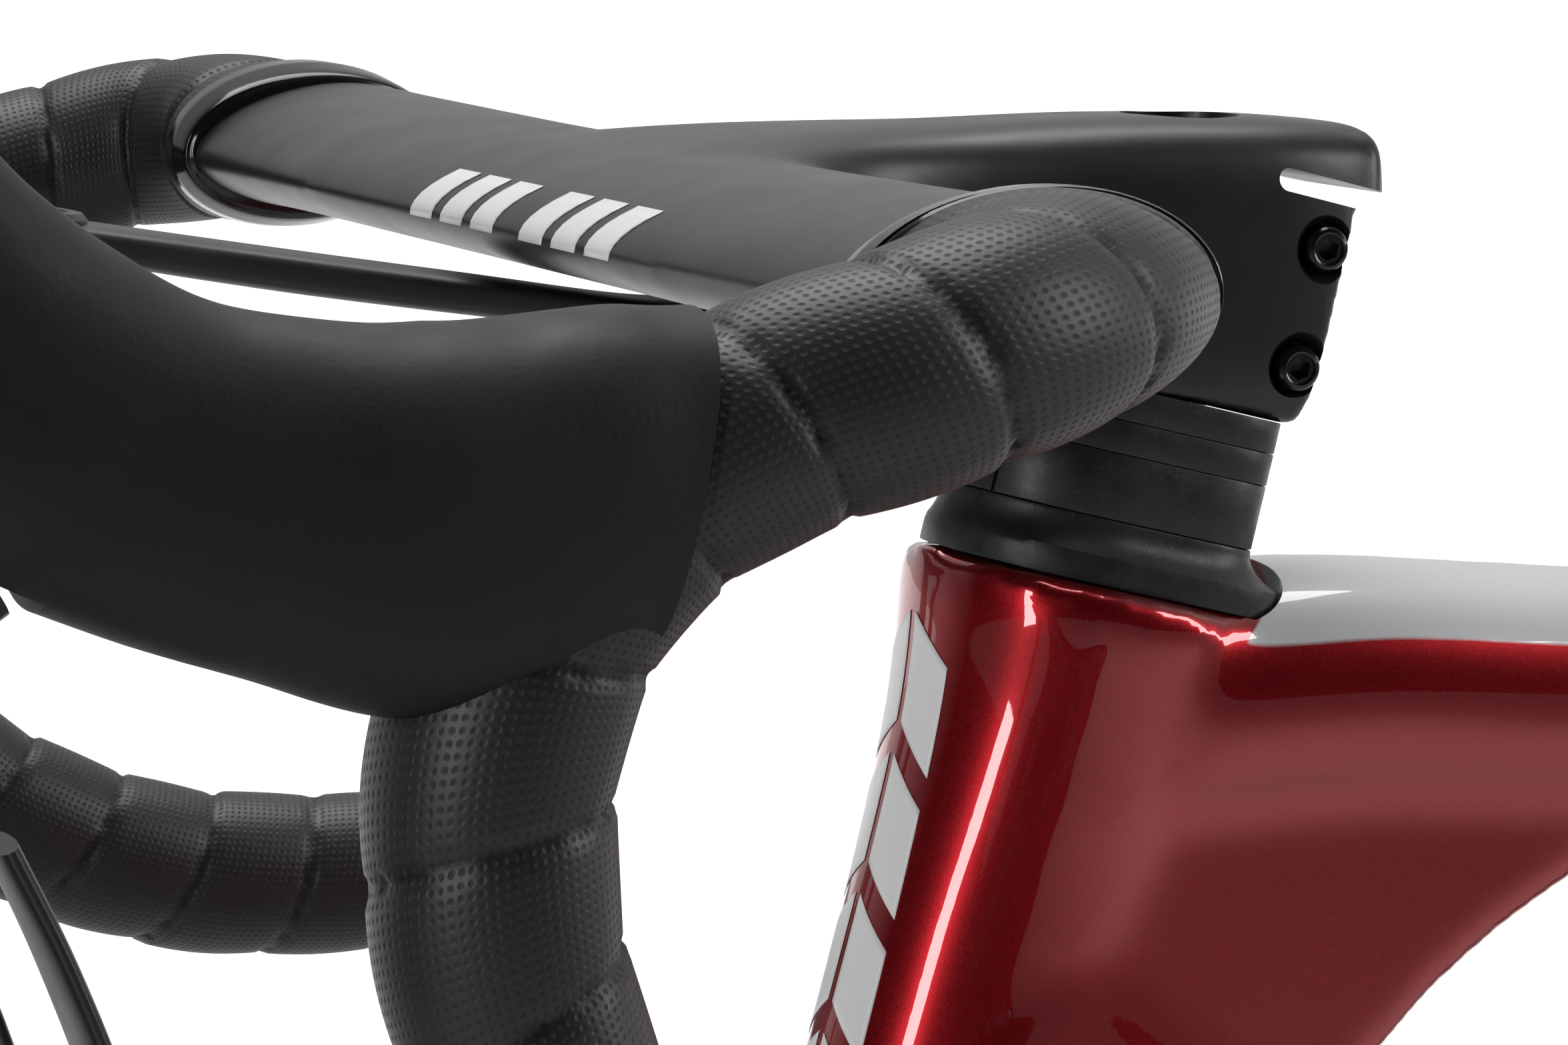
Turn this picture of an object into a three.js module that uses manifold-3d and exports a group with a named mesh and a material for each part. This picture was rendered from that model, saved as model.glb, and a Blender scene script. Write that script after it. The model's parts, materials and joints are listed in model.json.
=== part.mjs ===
// A road bicycle with disc brakes and a one-piece bar and stem. Millimetres; +X forward, +Y to the
// rider's left, +Z up; the origin is on the ground, halfway between the axles.
import * as THREE from "three";
import Module from "manifold-3d";
import { mergeVertices } from "three/addons/utils/BufferGeometryUtils.js";

const wasm = await Module();
wasm.setup();

// ---- Driving dimensions ----------------------------------------------------------------------
const RAD = Math.PI / 180;
const GAP = 0.3; // clearance between neighbouring pieces
const WHEELBASE = 990;
const WHEEL_R = 339; // a 28 mm tyre on a 622 mm bead seat
const TYRE_R = 14;
const HEAD_ANGLE = 73 * RAD;
const SEAT_ANGLE = 73.5 * RAD;
const FORK_OFFSET = 45;
const FORK_LENGTH = 367; // crown race to axle, along the steering axis
const HEAD_LENGTH = 145;
const STAY_LENGTH = 410;
const BB_DROP = 70;
const CRANK = 172.5;
const Q_HALF = 73; // pedal end of a crank arm to the centre plane
const CHAIN_PITCH = 12.7;
const CHAIN_Y = -48.6; // plane of the chain: big ring and the cog in use
const COG_TEETH = [34, 30, 27, 24, 21, 19, 17, 15, 14, 13, 12, 11];
const COG_IN_USE = 6;
const COG_STEP = 3.6;
const RING_TEETH = [50, 34];
const PULLEY_TEETH = 11;
const FRONT_HUB_HALF = 50;
const REAR_HUB_HALF = 71;
const ROTOR_R = 80;
const FRONT_ROTOR_Y = 35;
const REAR_ROTOR_Y = 50;
const AXLE_R = 6;
const STEERER_R = 14.3;
const SPACERS = [10, 5, 5]; // from the bottom up
const COVER_HEIGHT = 10;
const STEM_HEIGHT = 46;
const BAR_HALF = 190; // centre plane to the middle of the hood
const BAR_R = 11.9;
const TAPE = 2.9;
const TAPE_START = 158; // centre plane to the inboard end of the tape
const SADDLE_HEIGHT = 730; // bottom bracket to the top of the saddle

// ---- Points that follow from them -----------------------------------------------------------------
const V = (x, y, z) => new THREE.Vector3(x, y, z);
const UP_STEER = V(-Math.cos(HEAD_ANGLE), 0, Math.sin(HEAD_ANGLE));
const FWD_STEER = V(Math.sin(HEAD_ANGLE), 0, Math.cos(HEAD_ANGLE));
const UP_SEAT = V(-Math.cos(SEAT_ANGLE), 0, Math.sin(SEAT_ANGLE));
const FRONT_AXLE = V(WHEELBASE / 2, 0, WHEEL_R);
const REAR_AXLE = V(-WHEELBASE / 2, 0, WHEEL_R);
const BB = V(REAR_AXLE.x + Math.sqrt(STAY_LENGTH ** 2 - BB_DROP ** 2), 0, WHEEL_R - BB_DROP);
const CROWN = FRONT_AXLE.clone()
  .addScaledVector(FWD_STEER, -FORK_OFFSET)
  .addScaledVector(UP_STEER, FORK_LENGTH);
const HEAD_TOP = CROWN.clone().addScaledVector(UP_STEER, HEAD_LENGTH);
const head = (x, y, z) => V(x, y, z).add(HEAD_TOP); // level axes from the head tube's top
const steer = (h, f, y = 0) =>
  HEAD_TOP.clone().addScaledVector(UP_STEER, h).addScaledVector(FWD_STEER, f).add(V(0, y, 0));
const seat = (s, y = 0) => BB.clone().addScaledVector(UP_SEAT, s).add(V(0, y, 0));
const pitchRadius = (teeth) => CHAIN_PITCH / 2 / Math.sin(Math.PI / teeth);
const STEM_BOTTOM = COVER_HEIGHT + SPACERS.reduce((a, b) => a + b);
const STEM_TOP = STEM_BOTTOM + STEM_HEIGHT;
const BAR = V(74, 0, 62); // middle of the bar, from the head tube's top
const SADDLE_TOP = seat(SADDLE_HEIGHT);
const GUIDE_PULLEY = V(REAR_AXLE.x + 14, CHAIN_Y, REAR_AXLE.z - 95);
const TENSION_PULLEY = V(REAR_AXLE.x + 40, CHAIN_Y, REAR_AXLE.z - 156);

// ---- Solids ------------------------------------------------------------------------------------
// A closed three.js geometry as a solid that can be joined and cut.
function solid(geometry) {
  const bare = (geometry.index ? geometry.toNonIndexed() : geometry.clone()).clone();
  for (const name of Object.keys(bare.attributes)) if (name !== "position") bare.deleteAttribute(name);
  const g = mergeVertices(bare, 1e-4);
  const made = new wasm.Manifold(
    new wasm.Mesh({
      numProp: 3,
      vertProperties: new Float32Array(g.attributes.position.array),
      triVerts: new Uint32Array(g.index.array),
    }),
  );
  if (made.volume() >= 0) return made;
  const t = g.index.array.slice();
  for (let i = 0; i < t.length; i += 3) [t[i], t[i + 1]] = [t[i + 1], t[i]];
  g.index.array.set(t);
  return solid(g);
}

function geometryOf(made) {
  const m = made.getMesh();
  const p = new Float32Array(m.numVert * 3);
  for (let i = 0; i < m.numVert; i++) p.set(m.vertProperties.subarray(i * m.numProp, i * m.numProp + 3), i * 3);
  const g = new THREE.BufferGeometry();
  g.setAttribute("position", new THREE.BufferAttribute(p, 3));
  g.setIndex(new THREE.BufferAttribute(new Uint32Array(m.triVerts), 1));
  g.computeVertexNormals();
  return g;
}

const union = (...all) => all.reduce((a, b) => a.add(b));
const cut = (a, ...all) => all.reduce((s, b) => s.subtract(b), a);

// A ring of points: centre plus a superellipse on the two half-axes.
function ring(centre, halfA, halfB, exponent = 2, count = 12) {
  const bend = (v) => Math.sign(v) * Math.abs(v) ** (2 / exponent);
  return Array.from({ length: count }, (_, i) => {
    const t = ((i + 0.5) / count) * 2 * Math.PI;
    return centre.clone().addScaledVector(halfA, bend(Math.cos(t))).addScaledVector(halfB, bend(Math.sin(t)));
  });
}

// A closed surface through rings of equal count, with flat ends.
function loft(rings) {
  const n = rings[0].length;
  const p = rings.flat();
  const faces = [];
  for (let k = 0; k + 1 < rings.length; k++)
    for (let i = 0; i < n; i++) {
      const [a, b] = [k * n + i, k * n + ((i + 1) % n)];
      faces.push(a, b, b + n, a, b + n, a + n);
    }
  for (const [k, flip] of [[0, true], [rings.length - 1, false]]) {
    const middle = p.length;
    p.push(rings[k].reduce((s, q) => s.add(q), V(0, 0, 0)).divideScalar(n));
    for (let i = 0; i < n; i++) {
      const [a, b] = [k * n + i, k * n + ((i + 1) % n)];
      faces.push(...(flip ? [middle, b, a] : [middle, a, b]));
    }
  }
  const g = new THREE.BufferGeometry().setFromPoints(p);
  g.setIndex(faces);
  return solid(g);
}

// A tube along stations [point, half-width, half-height, exponent]; the width lies across, the
// height lies in the upright plane that holds the path.
function tube(stations, count = 12, across = V(0, 1, 0)) {
  return loft(
    stations.map(([c, w, h, e = 2.4], i) => {
      const before = stations[Math.max(0, i - 1)][0];
      const after = stations[Math.min(stations.length - 1, i + 1)][0];
      const along = after.clone().sub(before).normalize();
      const up = along.clone().cross(across).normalize();
      return ring(c, across.clone().multiplyScalar(w), up.multiplyScalar(h), e, count);
    }),
  );
}

// A tube along a bent path of stations [point, half-width, half-height, exponent]. The width starts
// along `side` and is carried round the bends without twisting.
function pipe(stations, side, count = 12) {
  let width = side.clone();
  const last = stations.length - 1;
  return loft(
    stations.map(([c, w, h = w, e = 2], i) => {
      const along = stations[Math.min(last, i + 1)][0].clone().sub(stations[Math.max(0, i - 1)][0]).normalize();
      width.addScaledVector(along, -width.dot(along)).normalize();
      const height = width.clone().cross(along);
      return ring(c, width.clone().multiplyScalar(w), height.multiplyScalar(h), e, count);
    }),
  );
}

// A cylinder between two points.
function rod(from, to, radius, count = 14) {
  const along = to.clone().sub(from);
  const g = new THREE.CylinderGeometry(radius, radius, along.length(), count);
  const turn = new THREE.Quaternion().setFromUnitVectors(V(0, 1, 0), along.clone().normalize());
  g.applyQuaternion(turn).translate(...from.clone().add(to).multiplyScalar(0.5).toArray());
  return solid(g);
}

// A box with its middle, its sizes and a turn about Y.
function box(middle, size, turnY = 0) {
  const g = new THREE.BoxGeometry(...size).rotateY(turnY).translate(...middle.toArray());
  return solid(g);
}

// A body turned about the Y axis from a closed profile of [radius, y] points.
function turned(profile, count, middle = V(0, 0, 0)) {
  const points = profile.map(([r, y]) => new THREE.Vector2(r, y));
  if (profile[0][0] > 0) points.push(points[0].clone());
  return solid(new THREE.LatheGeometry(points, count).translate(...middle.toArray()));
}

// A plate cut from an outline in the X-Z plane, from y0 to y1.
function plate(outline, y0, y1, holes = [], curveSegments = 6) {
  const shape = outline instanceof THREE.Shape ? outline : new THREE.Shape(outline.map(([x, z]) => new THREE.Vector2(x, z)));
  shape.holes.push(...holes);
  const g = new THREE.ExtrudeGeometry(shape, { depth: y1 - y0, bevelEnabled: false, curveSegments });
  return solid(g.rotateX(Math.PI / 2).translate(0, y1, 0));
}

// A toothed outline: a plain tooth per chain pitch, between the tip and the root radius.
function toothed(teeth, tip, root) {
  return Array.from({ length: teeth * 2 }, (_, i) => {
    const r = i % 2 ? root : tip;
    const t = (i * Math.PI) / teeth;
    return [r * Math.cos(t), r * Math.sin(t)];
  });
}

// Both of a left and right pair, from a function of the side (+1 is left).
function pair(name, material, make) {
  add(`${name}_left`, make(1), material);
  add(`${name}_right`, make(-1), material);
}

// ---- Materials -----------------------------------------------------------------------------------
const paint = (color, roughness, metalness = 0) => new THREE.MeshStandardMaterial({ color, roughness, metalness });
const RED = paint(0x9a0712, 0.18, 0.35);
const BLACK_MATT = paint(0x1c1c1e, 0.5);
const BLACK_SATIN = paint(0x242426, 0.38);
const TAPE_BLACK = paint(0x19191b, 0.62);
const RUBBER = paint(0x161617, 0.72);
const STEEL = paint(0xb4b6ba, 0.3, 0.95);
const DARK_STEEL = paint(0x3c3d40, 0.35, 0.9);
const ALLOY = paint(0x2b2c2f, 0.32, 0.6);
const CARBON = paint(0x141416, 0.35, 0.1);

const bicycle = new THREE.Group();
function add(name, made, material, parent = bicycle) {
  const mesh = new THREE.Mesh(geometryOf(made), material);
  mesh.name = name;
  parent.add(mesh);
}

// ---- Frame ---------------------------------------------------------------------------------------
const SEAT_TOP = 512; // bottom bracket to the top of the seat tube, along it
const POST_HALF = [10.5, 16.5]; // half-width and half-depth of the seat post
const DROPOUT_OUT = 79;
const UPPER_BEARING_R = 20.9;
const LOWER_BEARING_R = 26;
const BEARING_DEPTH = 8;
const DOWN_START = steer(-72, 2);
const DOWN_AXIS = BB.clone().sub(DOWN_START).normalize();
const INTO_TRIANGLE = V(DOWN_AXIS.z, 0, -DOWN_AXIS.x);
const BOSS_DOWN = DOWN_START.clone().lerp(BB, 0.6).addScaledVector(INTO_TRIANGLE, 30.5);
const BOSS_SEAT = seat(210).add(V(Math.sin(SEAT_ANGLE), 0, Math.cos(SEAT_ANGLE)).multiplyScalar(21.5));
const HANGER = V(REAR_AXLE.x - 6, 0, REAR_AXLE.z - 28);

const COVER_BASE = [24.1, 29, 22.5];
const SPACER_SHAPE = [23, 23.7, 19];

// A level section round the steerer, elliptical in front and nearly square behind.
function collarSection(h, [front, rear, width], grow = 0) {
  const count = 16;
  return Array.from({ length: count }, (_, i) => {
    const t = ((i + 0.5) / count) * 2 * Math.PI;
    const [c, s] = [Math.cos(t), Math.sin(t)];
    const power = c > 0 ? 1 : 0.45;
    const along = Math.sign(c) * Math.abs(c) ** power * ((c > 0 ? front : rear) + grow);
    return steer(h, along, Math.sign(s) * Math.abs(s) ** power * (width + grow));
  });
}

function headTube() {
  // Along the steering axis from its top: [height, half-depth, half-width, middle].
  const sections = [
    [0, 28, 28.8, -2.4],
    [-26, 25.2, 25, -2.6],
    [-60, 25.1, 22, -2.4],
    [-110, 26.4, 22.5, -1.6],
    [-136, 29.6, 29, -0.2],
    [-HEAD_LENGTH, 30, 29.8, 0],
  ];
  return loft(
    sections.map(([h, depth, width, middle]) =>
      ring(steer(h, middle), FWD_STEER.clone().multiplyScalar(depth), V(0, width, 0), 2.1, 16),
    ),
  );
}

function mainTubes() {
  const topTube = tube([
    [head(-8, 0, -20), 27, 20, 2.4],
    [head(-40, 0, -21), 27, 19.8, 2.3],
    [head(-75, 0, -26), 26, 20, 2.3],
    [head(-110, 0, -30), 24.5, 19.5, 2.4],
    [head(-300, 0, -47), 21, 15.5, 2.6],
    [head(-440, 0, -62), 18, 14, 2.6],
    [seat(495), 14, 13, 2.5],
  ]);
  const downTube = tube([
    [DOWN_START, 23, 34, 2.5],
    [DOWN_START.clone().lerp(BB, 0.12), 24, 33, 2.6],
    [DOWN_START.clone().lerp(BB, 0.5), 25, 31, 2.8],
    [DOWN_START.clone().lerp(BB, 0.86), 29, 31, 2.8],
    [BB.clone().add(V(12, 0, 10)), 33, 27, 2.6],
  ]);
  const seatTube = tube([
    [seat(-4), 30, 27, 2.6],
    [seat(60), 22, 24, 2.6],
    [seat(150), 16.5, 22.5, 2.6],
    [seat(420), 15.5, 22, 2.6],
    [seat(SEAT_TOP), 15.2, 22, 2.6],
  ]);
  const shell = rod(V(BB.x, -43, BB.z), V(BB.x, 43, BB.z), 24, 16);
  return [headTube(), topTube, downTube, headWeb(), seatTube, shell];
}

// The web that fills the corner between the head tube and the two front tubes; its rear edge is
// one hollow curve.
function headWeb() {
  const at = (x, z) => [HEAD_TOP.x + x, HEAD_TOP.z + z];
  const web = new THREE.Shape();
  web.moveTo(...at(6, -30));
  web.lineTo(...at(-118, -38));
  web.bezierCurveTo(...at(-92, -46), ...at(-62, -56), ...at(-40, -78));
  web.bezierCurveTo(...at(-30, -88), ...at(-30, -98), ...at(-42, -112));
  web.lineTo(...at(-28, -118));
  web.lineTo(...at(18, -60));
  return plate(web, -19, 19, [], 5);
}

function rearStays(side) {
  const chainStay = [
    [-105, 26, 268, 9, 17],
    [-200, 29, 284, 8, 14],
    [-300, 44, 303, 7, 11.5],
    [-400, 62, 322, 6.5, 10.5],
    [-452, 71.5, 331, 5, 10],
    [REAR_AXLE.x, 75.2, REAR_AXLE.z, 3.6, 11],
  ];
  const seatStay = [
    [-222, 9, 700, 8, 13],
    [-272, 22, 632, 6.5, 10],
    [-350, 43, 532, 5.5, 8],
    [-440, 64, 420, 5.5, 8],
    [-488, 75.2, 352, 3.6, 9],
  ];
  const tubes = [chainStay, seatStay].map((path) =>
    tube(path.map(([x, y, z, w, h]) => [V(x, side * y, z), w, h, 2.3]), 8),
  );
  const axleAt = (y) => V(REAR_AXLE.x, side * y, REAR_AXLE.z);
  return [...tubes, rod(axleAt(REAR_HUB_HALF + GAP), axleAt(DROPOUT_OUT), 15)];
}

function derailleurHanger() {
  const outline = [[-9, 8], [9, 8], [8, -18], [0, -38], [-12, -38], [-18, -20]];
  return plate(
    outline.map(([x, z]) => [REAR_AXLE.x + x, REAR_AXLE.z + z]),
    -DROPOUT_OUT,
    -REAR_HUB_HALF - 1.2,
  );
}

function frame() {
  const solids = [...mainTubes(), ...rearStays(1), ...rearStays(-1)];
  solids.push(box(BOSS_DOWN, [90, 14, 8], -Math.atan2(DOWN_AXIS.z, DOWN_AXIS.x)));
  solids.push(box(BOSS_SEAT, [8, 14, 90], SEAT_ANGLE - Math.PI / 2));
  const postRoom = [POST_HALF[0] + GAP, POST_HALF[1] + GAP, 2.4];
  const tooWide = WHEEL_R + 7;
  const hubRoom = REAR_HUB_HALF + GAP;
  const room = [
    rod(steer(-200, 0), steer(5, 0), 18.5),
    rod(steer(-BEARING_DEPTH - GAP, 0), steer(5, 0), UPPER_BEARING_R + 2 * GAP, 18),
    rod(steer(-200, 0), steer(BEARING_DEPTH + GAP - HEAD_LENGTH, 0), LOWER_BEARING_R + 2 * GAP, 18),
    box(steer(25, 26), [80, 90, 50], HEAD_ANGLE - Math.PI / 2),
    loft([collarSection(0, COVER_BASE, 0.8), collarSection(30, COVER_BASE, 0.8)]),
    rod(V(BB.x, -60, BB.z), V(BB.x, 60, BB.z), 21, 16),
    tube([[seat(250), ...postRoom], [seat(SEAT_TOP + 20), ...postRoom]]),
    turned([[0, -19], [tooWide, -19], [tooWide, 19], [0, 19]], 24, REAR_AXLE),
    rod(V(REAR_AXLE.x, -hubRoom, REAR_AXLE.z), V(REAR_AXLE.x, hubRoom, REAR_AXLE.z), 24),
    box(seat(SEAT_TOP + 25), [120, 60, 50], SEAT_ANGLE - Math.PI / 2),
  ];
  const axleRoom = rod(V(REAR_AXLE.x, -100, REAR_AXLE.z), V(REAR_AXLE.x, 100, REAR_AXLE.z), AXLE_R + GAP);
  return cut(cut(union(...solids), ...room).add(derailleurHanger()), axleRoom);
}

function headsetBearing(top, radius) {
  const race = rod(steer(top - BEARING_DEPTH + GAP, 0), steer(top, 0), radius, 18);
  return cut(race, rod(steer(top - 20, 0), steer(top + 20, 0), STEERER_R + 2 * GAP, 14));
}

function bottomBracketCup(side) {
  const cup = turned([[12.3, 30], [20.5, 30], [20.5, 43.3], [22.5, 43.3], [22.5, 46], [12.3, 46]], 16);
  return (side > 0 ? cup : cup.rotate([0, 0, 180])).translate([BB.x, 0, BB.z]);
}

// A through axle with its head on the left.
function thruAxle(axle, right, left) {
  const at = (y) => V(axle.x, y, axle.z);
  return union(rod(at(-right), at(left + 3), AXLE_R, 14), rod(at(left + GAP), at(left + 4), 9.5, 18));
}

// ---- Seat post and saddle ------------------------------------------------------------------------
const RAIL_R = 3.5;
const CLAMP = seat(SADDLE_HEIGHT - 55);

function railPath(grow) {
  const path = [[-100, 31, 24], [-72, 9, 24], [-45, 0, 22], [45, 0, 22], [82, 11, 14], [116, 29, 6]];
  const across = V(0, 1, 0);
  const rails = [1, -1].map((side) =>
    pipe(path.map(([x, z, y]) => [CLAMP.clone().add(V(x, side * y, z)), RAIL_R + grow]), across, 8),
  );
  const [x, z, y] = path[path.length - 1];
  const noseEnd = (side) => CLAMP.clone().add(V(x, side * (y + 2 + grow), z));
  return union(...rails, rod(noseEnd(-1), noseEnd(1), RAIL_R + grow, 8));
}

function seatPost() {
  const mast = tube([
    [seat(330), ...POST_HALF, 2.4],
    [seat(SADDLE_HEIGHT - 82), ...POST_HALF, 2.4],
    [seat(SADDLE_HEIGHT - 60), 10, 15, 2.4],
  ]);
  const clampBody = rod(CLAMP.clone().add(V(0, -30, 0)), CLAMP.clone().add(V(0, 30, 0)), 9.5, 16);
  const cradle = box(CLAMP.clone().add(V(0, 0, -2)), [36, 24, 12]);
  return cut(union(mast, clampBody, cradle), railPath(GAP));
}

// Along the saddle from its tail: [place, half-width, underside, top].
const SADDLE_LINE = [
  [-122, 40, -10, 0],
  [-112, 66, -15, 2],
  [-80, 73, -18, 0],
  [-40, 62, -19, -2],
  [0, 40, -19, -3],
  [50, 24, -18, -2],
  [110, 20, -17, -1],
  [138, 16, -16, -2],
  [148, 8, -13, -6],
];

// A layer of the saddle between two levels of its depth, from 0 at the underside to 1 at the top.
function saddleLayer(low, high, inset) {
  return loft(
    SADDLE_LINE.map(([x, width, bottom, top]) => {
      const level = (part) => bottom + (top - bottom) * part;
      const middle = SADDLE_TOP.clone().add(V(x * (1 - inset / 100), 0, (level(low) + level(high)) / 2));
      return ring(middle, V(0, width - inset, 0), V(0, 0, (level(high) - level(low)) / 2), 2.8, 12);
    }),
  );
}

// ---- Fork, headset and spacers -------------------------------------------------------------------
function fork() {
  const steerer = rod(steer(-HEAD_LENGTH - 8, 0), steer(STEM_TOP - 6, 0), STEERER_R, 14);
  const crown = loft([
    ring(steer(-HEAD_LENGTH - GAP, 0), FWD_STEER.clone().multiplyScalar(30), V(0, 29.8, 0), 2.1, 20),
    ring(steer(-HEAD_LENGTH - 12, 0), FWD_STEER.clone().multiplyScalar(29), V(0, 31, 0), 2.2, 20),
    ring(steer(-HEAD_LENGTH - 26, 0), FWD_STEER.clone().multiplyScalar(26), V(0, 35, 0), 2.4, 20),
    ring(steer(-HEAD_LENGTH - 44, 1), FWD_STEER.clone().multiplyScalar(23), V(0, 38, 0), 2.6, 20),
  ]);
  const legs = [1, -1].map((side) =>
    tube([
      [steer(-HEAD_LENGTH - 22, 0, side * 27), 9, 25, 2.4],
      [steer(-HEAD_LENGTH - 60, 2, side * 34), 8.5, 22, 2.4],
      [steer(-HEAD_LENGTH - 150, 8, side * 43), 7.5, 16, 2.4],
      [steer(-HEAD_LENGTH - 260, 22, side * 51.5), 6.5, 11.5, 2.4],
      [steer(-HEAD_LENGTH - 330, 36, side * 55.5), 5, 10, 2.4],
      [FRONT_AXLE.clone().add(V(0, side * 55.5, 0)), 5, 10, 2.4],
    ]),
  );
  const axleAt = (y) => V(FRONT_AXLE.x, y, FRONT_AXLE.z);
  const ends = [1, -1].map((side) => rod(axleAt(side * (FRONT_HUB_HALF + GAP)), axleAt(side * 61), 13));
  const tooWide = WHEEL_R + 6;
  const room = [
    turned([[0, -20], [tooWide, -20], [tooWide, 20], [0, 20]], 24, FRONT_AXLE),
    rod(axleAt(-80), axleAt(80), AXLE_R + GAP),
    rod(steer(-HEAD_LENGTH - 60, 0), steer(STEM_TOP, 0), 11, 16),
  ];
  return cut(union(steerer, crown, ...legs, ...ends), ...room);
}

// A ring round the steerer through sections [height, [front, rear, half-width]].
function collar(...sections) {
  const last = sections.length - 1;
  const bore = rod(steer(sections[0][0] - 5, 0), steer(sections[last][0] + 5, 0), STEERER_R + 2 * GAP, 14);
  return cut(loft(sections.map(([h, shape]) => collarSection(h, shape))), bore);
}

// ---- Bar and stem in one piece -------------------------------------------------------------------
// The bar's middle line on the left, with half-chord and half-thickness, from the centre plane to
// the end of the drop.
const BAR_LINE = [
  [71, -6, 61.5, 24, 9.6],
  [71, 60, 61.5, 24, 9.6],
  [71, 120, 61.7, 23.5, 10],
  [72, 148, 62, 22.5, 10.6],
  [75, 163, 62.3, 19, 11.3],
  [81, 176, 62.6, 14.5, 11.8],
  [92, 186, 61.5, BAR_R],
  [106, BAR_HALF, 59, BAR_R],
  [124, BAR_HALF, 54.5, BAR_R],
  [141, BAR_HALF, 46, BAR_R],
  [152, BAR_HALF, 33, BAR_R],
  [157.5, BAR_HALF, 17, BAR_R],
  [158, BAR_HALF, 0, BAR_R],
  [154, BAR_HALF, -18, BAR_R],
  [146, BAR_HALF, -34, BAR_R],
  [134, BAR_HALF, -48, BAR_R],
  [118, BAR_HALF, -59, BAR_R],
  [100, BAR_HALF, -67, BAR_R],
  [80, BAR_HALF, -72, BAR_R],
  [50, BAR_HALF, -75, BAR_R],
  [22, BAR_HALF, -77, BAR_R],
];
// The part of the line under the tape: from just outboard of the ring to just short of the end.
const TAPE_LINE = [
  [73.6, TAPE_START, 62.2, 20.4, 11.1],
  ...BAR_LINE.slice(4, -1),
  [26, BAR_HALF, -76.7, BAR_R],
];

function barPipe(line, side, grow) {
  const stations = line.map(([x, y, z, w, h = w]) => [head(x, side * y, z), w + grow, h + grow]);
  return pipe(stations, V(1, 0, 0), 10);
}

// Along the stem from its rear: [place, underside, top, half-width].
const STEM_LINE = [
  [-48.5, 56, 64.4, 13],
  [-44.5, 20, 66.9, 17.5],
  [-30, 20, 68.8, 19.6],
  [-5, 20, 70.6, 20],
  [20, 30, 71.4, 20.5],
  [38, 42, 72.2, 24],
  [52, 49, 72.4, 33],
  [66, 51.5, 71.5, 50],
  [82, 54, 69, 62],
];
const STEM_BOLTS = [38.7, 57.3]; // heights above the head tube
const STEM_BOLT_BACK = -20.6;

function stem() {
  const body = loft(
    STEM_LINE.map(([x, bottom, top, width]) =>
      ring(head(x, 0, (bottom + top) / 2), V(0, width, 0), V(0, 0, (top - bottom) / 2), 4, 20),
    ),
  );
  const turn = HEAD_ANGLE - Math.PI / 2;
  return cut(
    body,
    box(steer(STEM_BOTTOM - 25, 0), [160, 140, 50], turn),
    box(steer(STEM_BOTTOM, -24.5 - 20), [40, 60, 70], turn),
    box(steer(66.1, -40), [60, 60, 3.3], turn),
  );
}

function cockpit() {
  const turn = HEAD_ANGLE - Math.PI / 2;
  const rooms = STEM_BOLTS.flatMap((h) => [
    rod(steer(h, STEM_BOLT_BACK, -14), steer(h, STEM_BOLT_BACK, 30), 2 + GAP, 10),
    rod(steer(h, STEM_BOLT_BACK, 15), steer(h, STEM_BOLT_BACK, 30), 3.9, 16),
  ]);
  return cut(
    union(barPipe(BAR_LINE, 1, 0), barPipe(BAR_LINE, -1, 0), stem()),
    rod(steer(0, 0), steer(STEM_TOP - 6 + GAP, 0), STEERER_R + 2 * GAP, 14),
    rod(steer(0, 0), steer(STEM_TOP + 20, 0), 9, 14),
    box(steer(45, -25), [30, 2.5, 44], turn),
    ...rooms,
  );
}

function stemBolt(h) {
  const at = (y) => steer(h, STEM_BOLT_BACK, y);
  const socket = rod(at(17), at(25), 1.75, 6);
  return cut(union(rod(at(-13), at(16), 2, 8), rod(at(15 + GAP), at(19.3), 3.5, 14)), socket);
}

function tapeWrap(side) {
  const inboard = box(head(75, side * (TAPE_START - 30), 62), [120, 60, 60]);
  return cut(barPipe(TAPE_LINE, side, TAPE), barPipe(BAR_LINE, side, GAP), inboard);
}

function tapeRing(side) {
  const at = (y, x, w, h) => [head(x, side * y, 62.1), w, h];
  const sleeve = (grow) =>
    pipe([at(TAPE_START - 9, 72.3, 22 + grow, 10.7 + grow), at(TAPE_START - GAP, 73.6, 20.5 + grow, 11.2 + grow)], V(1, 0, 0), 16);
  const outboard = box(head(75, side * (TAPE_START - GAP + 30), 62), [120, 60, 60]);
  return cut(sleeve(2.6), barPipe(BAR_LINE, side, 0.45), outboard);
}

// ---- Brake and shift levers ----------------------------------------------------------------------
// Along the hood: [x, height, half-width, half-height].
const HOOD_LINE = [
  [134, 52, 15.5, 21],
  [146, 49.5, 17, 20.5],
  [163, 47.5, 18, 22.5],
  [180, 51.5, 17.5, 20.5],
  [196, 57, 17, 19.5],
  [211, 66, 16.5, 20],
  [222, 79, 15.5, 18],
  [229, 94, 13.5, 14.5],
  [231, 104, 9, 9],
];
const LEVER_PIVOT = head(222, 0, 44);

function hood(side) {
  const leverRoom = box(LEVER_PIVOT.clone().add(V(7, side * BAR_HALF, -2)), [38, 17, 37]);
  const cover = tube(HOOD_LINE.map(([x, z, w, h]) => [head(x, side * BAR_HALF, z), w, h, 2.5]));
  return cut(cover, barPipe(BAR_LINE, side, TAPE + GAP), leverRoom);
}

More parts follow.
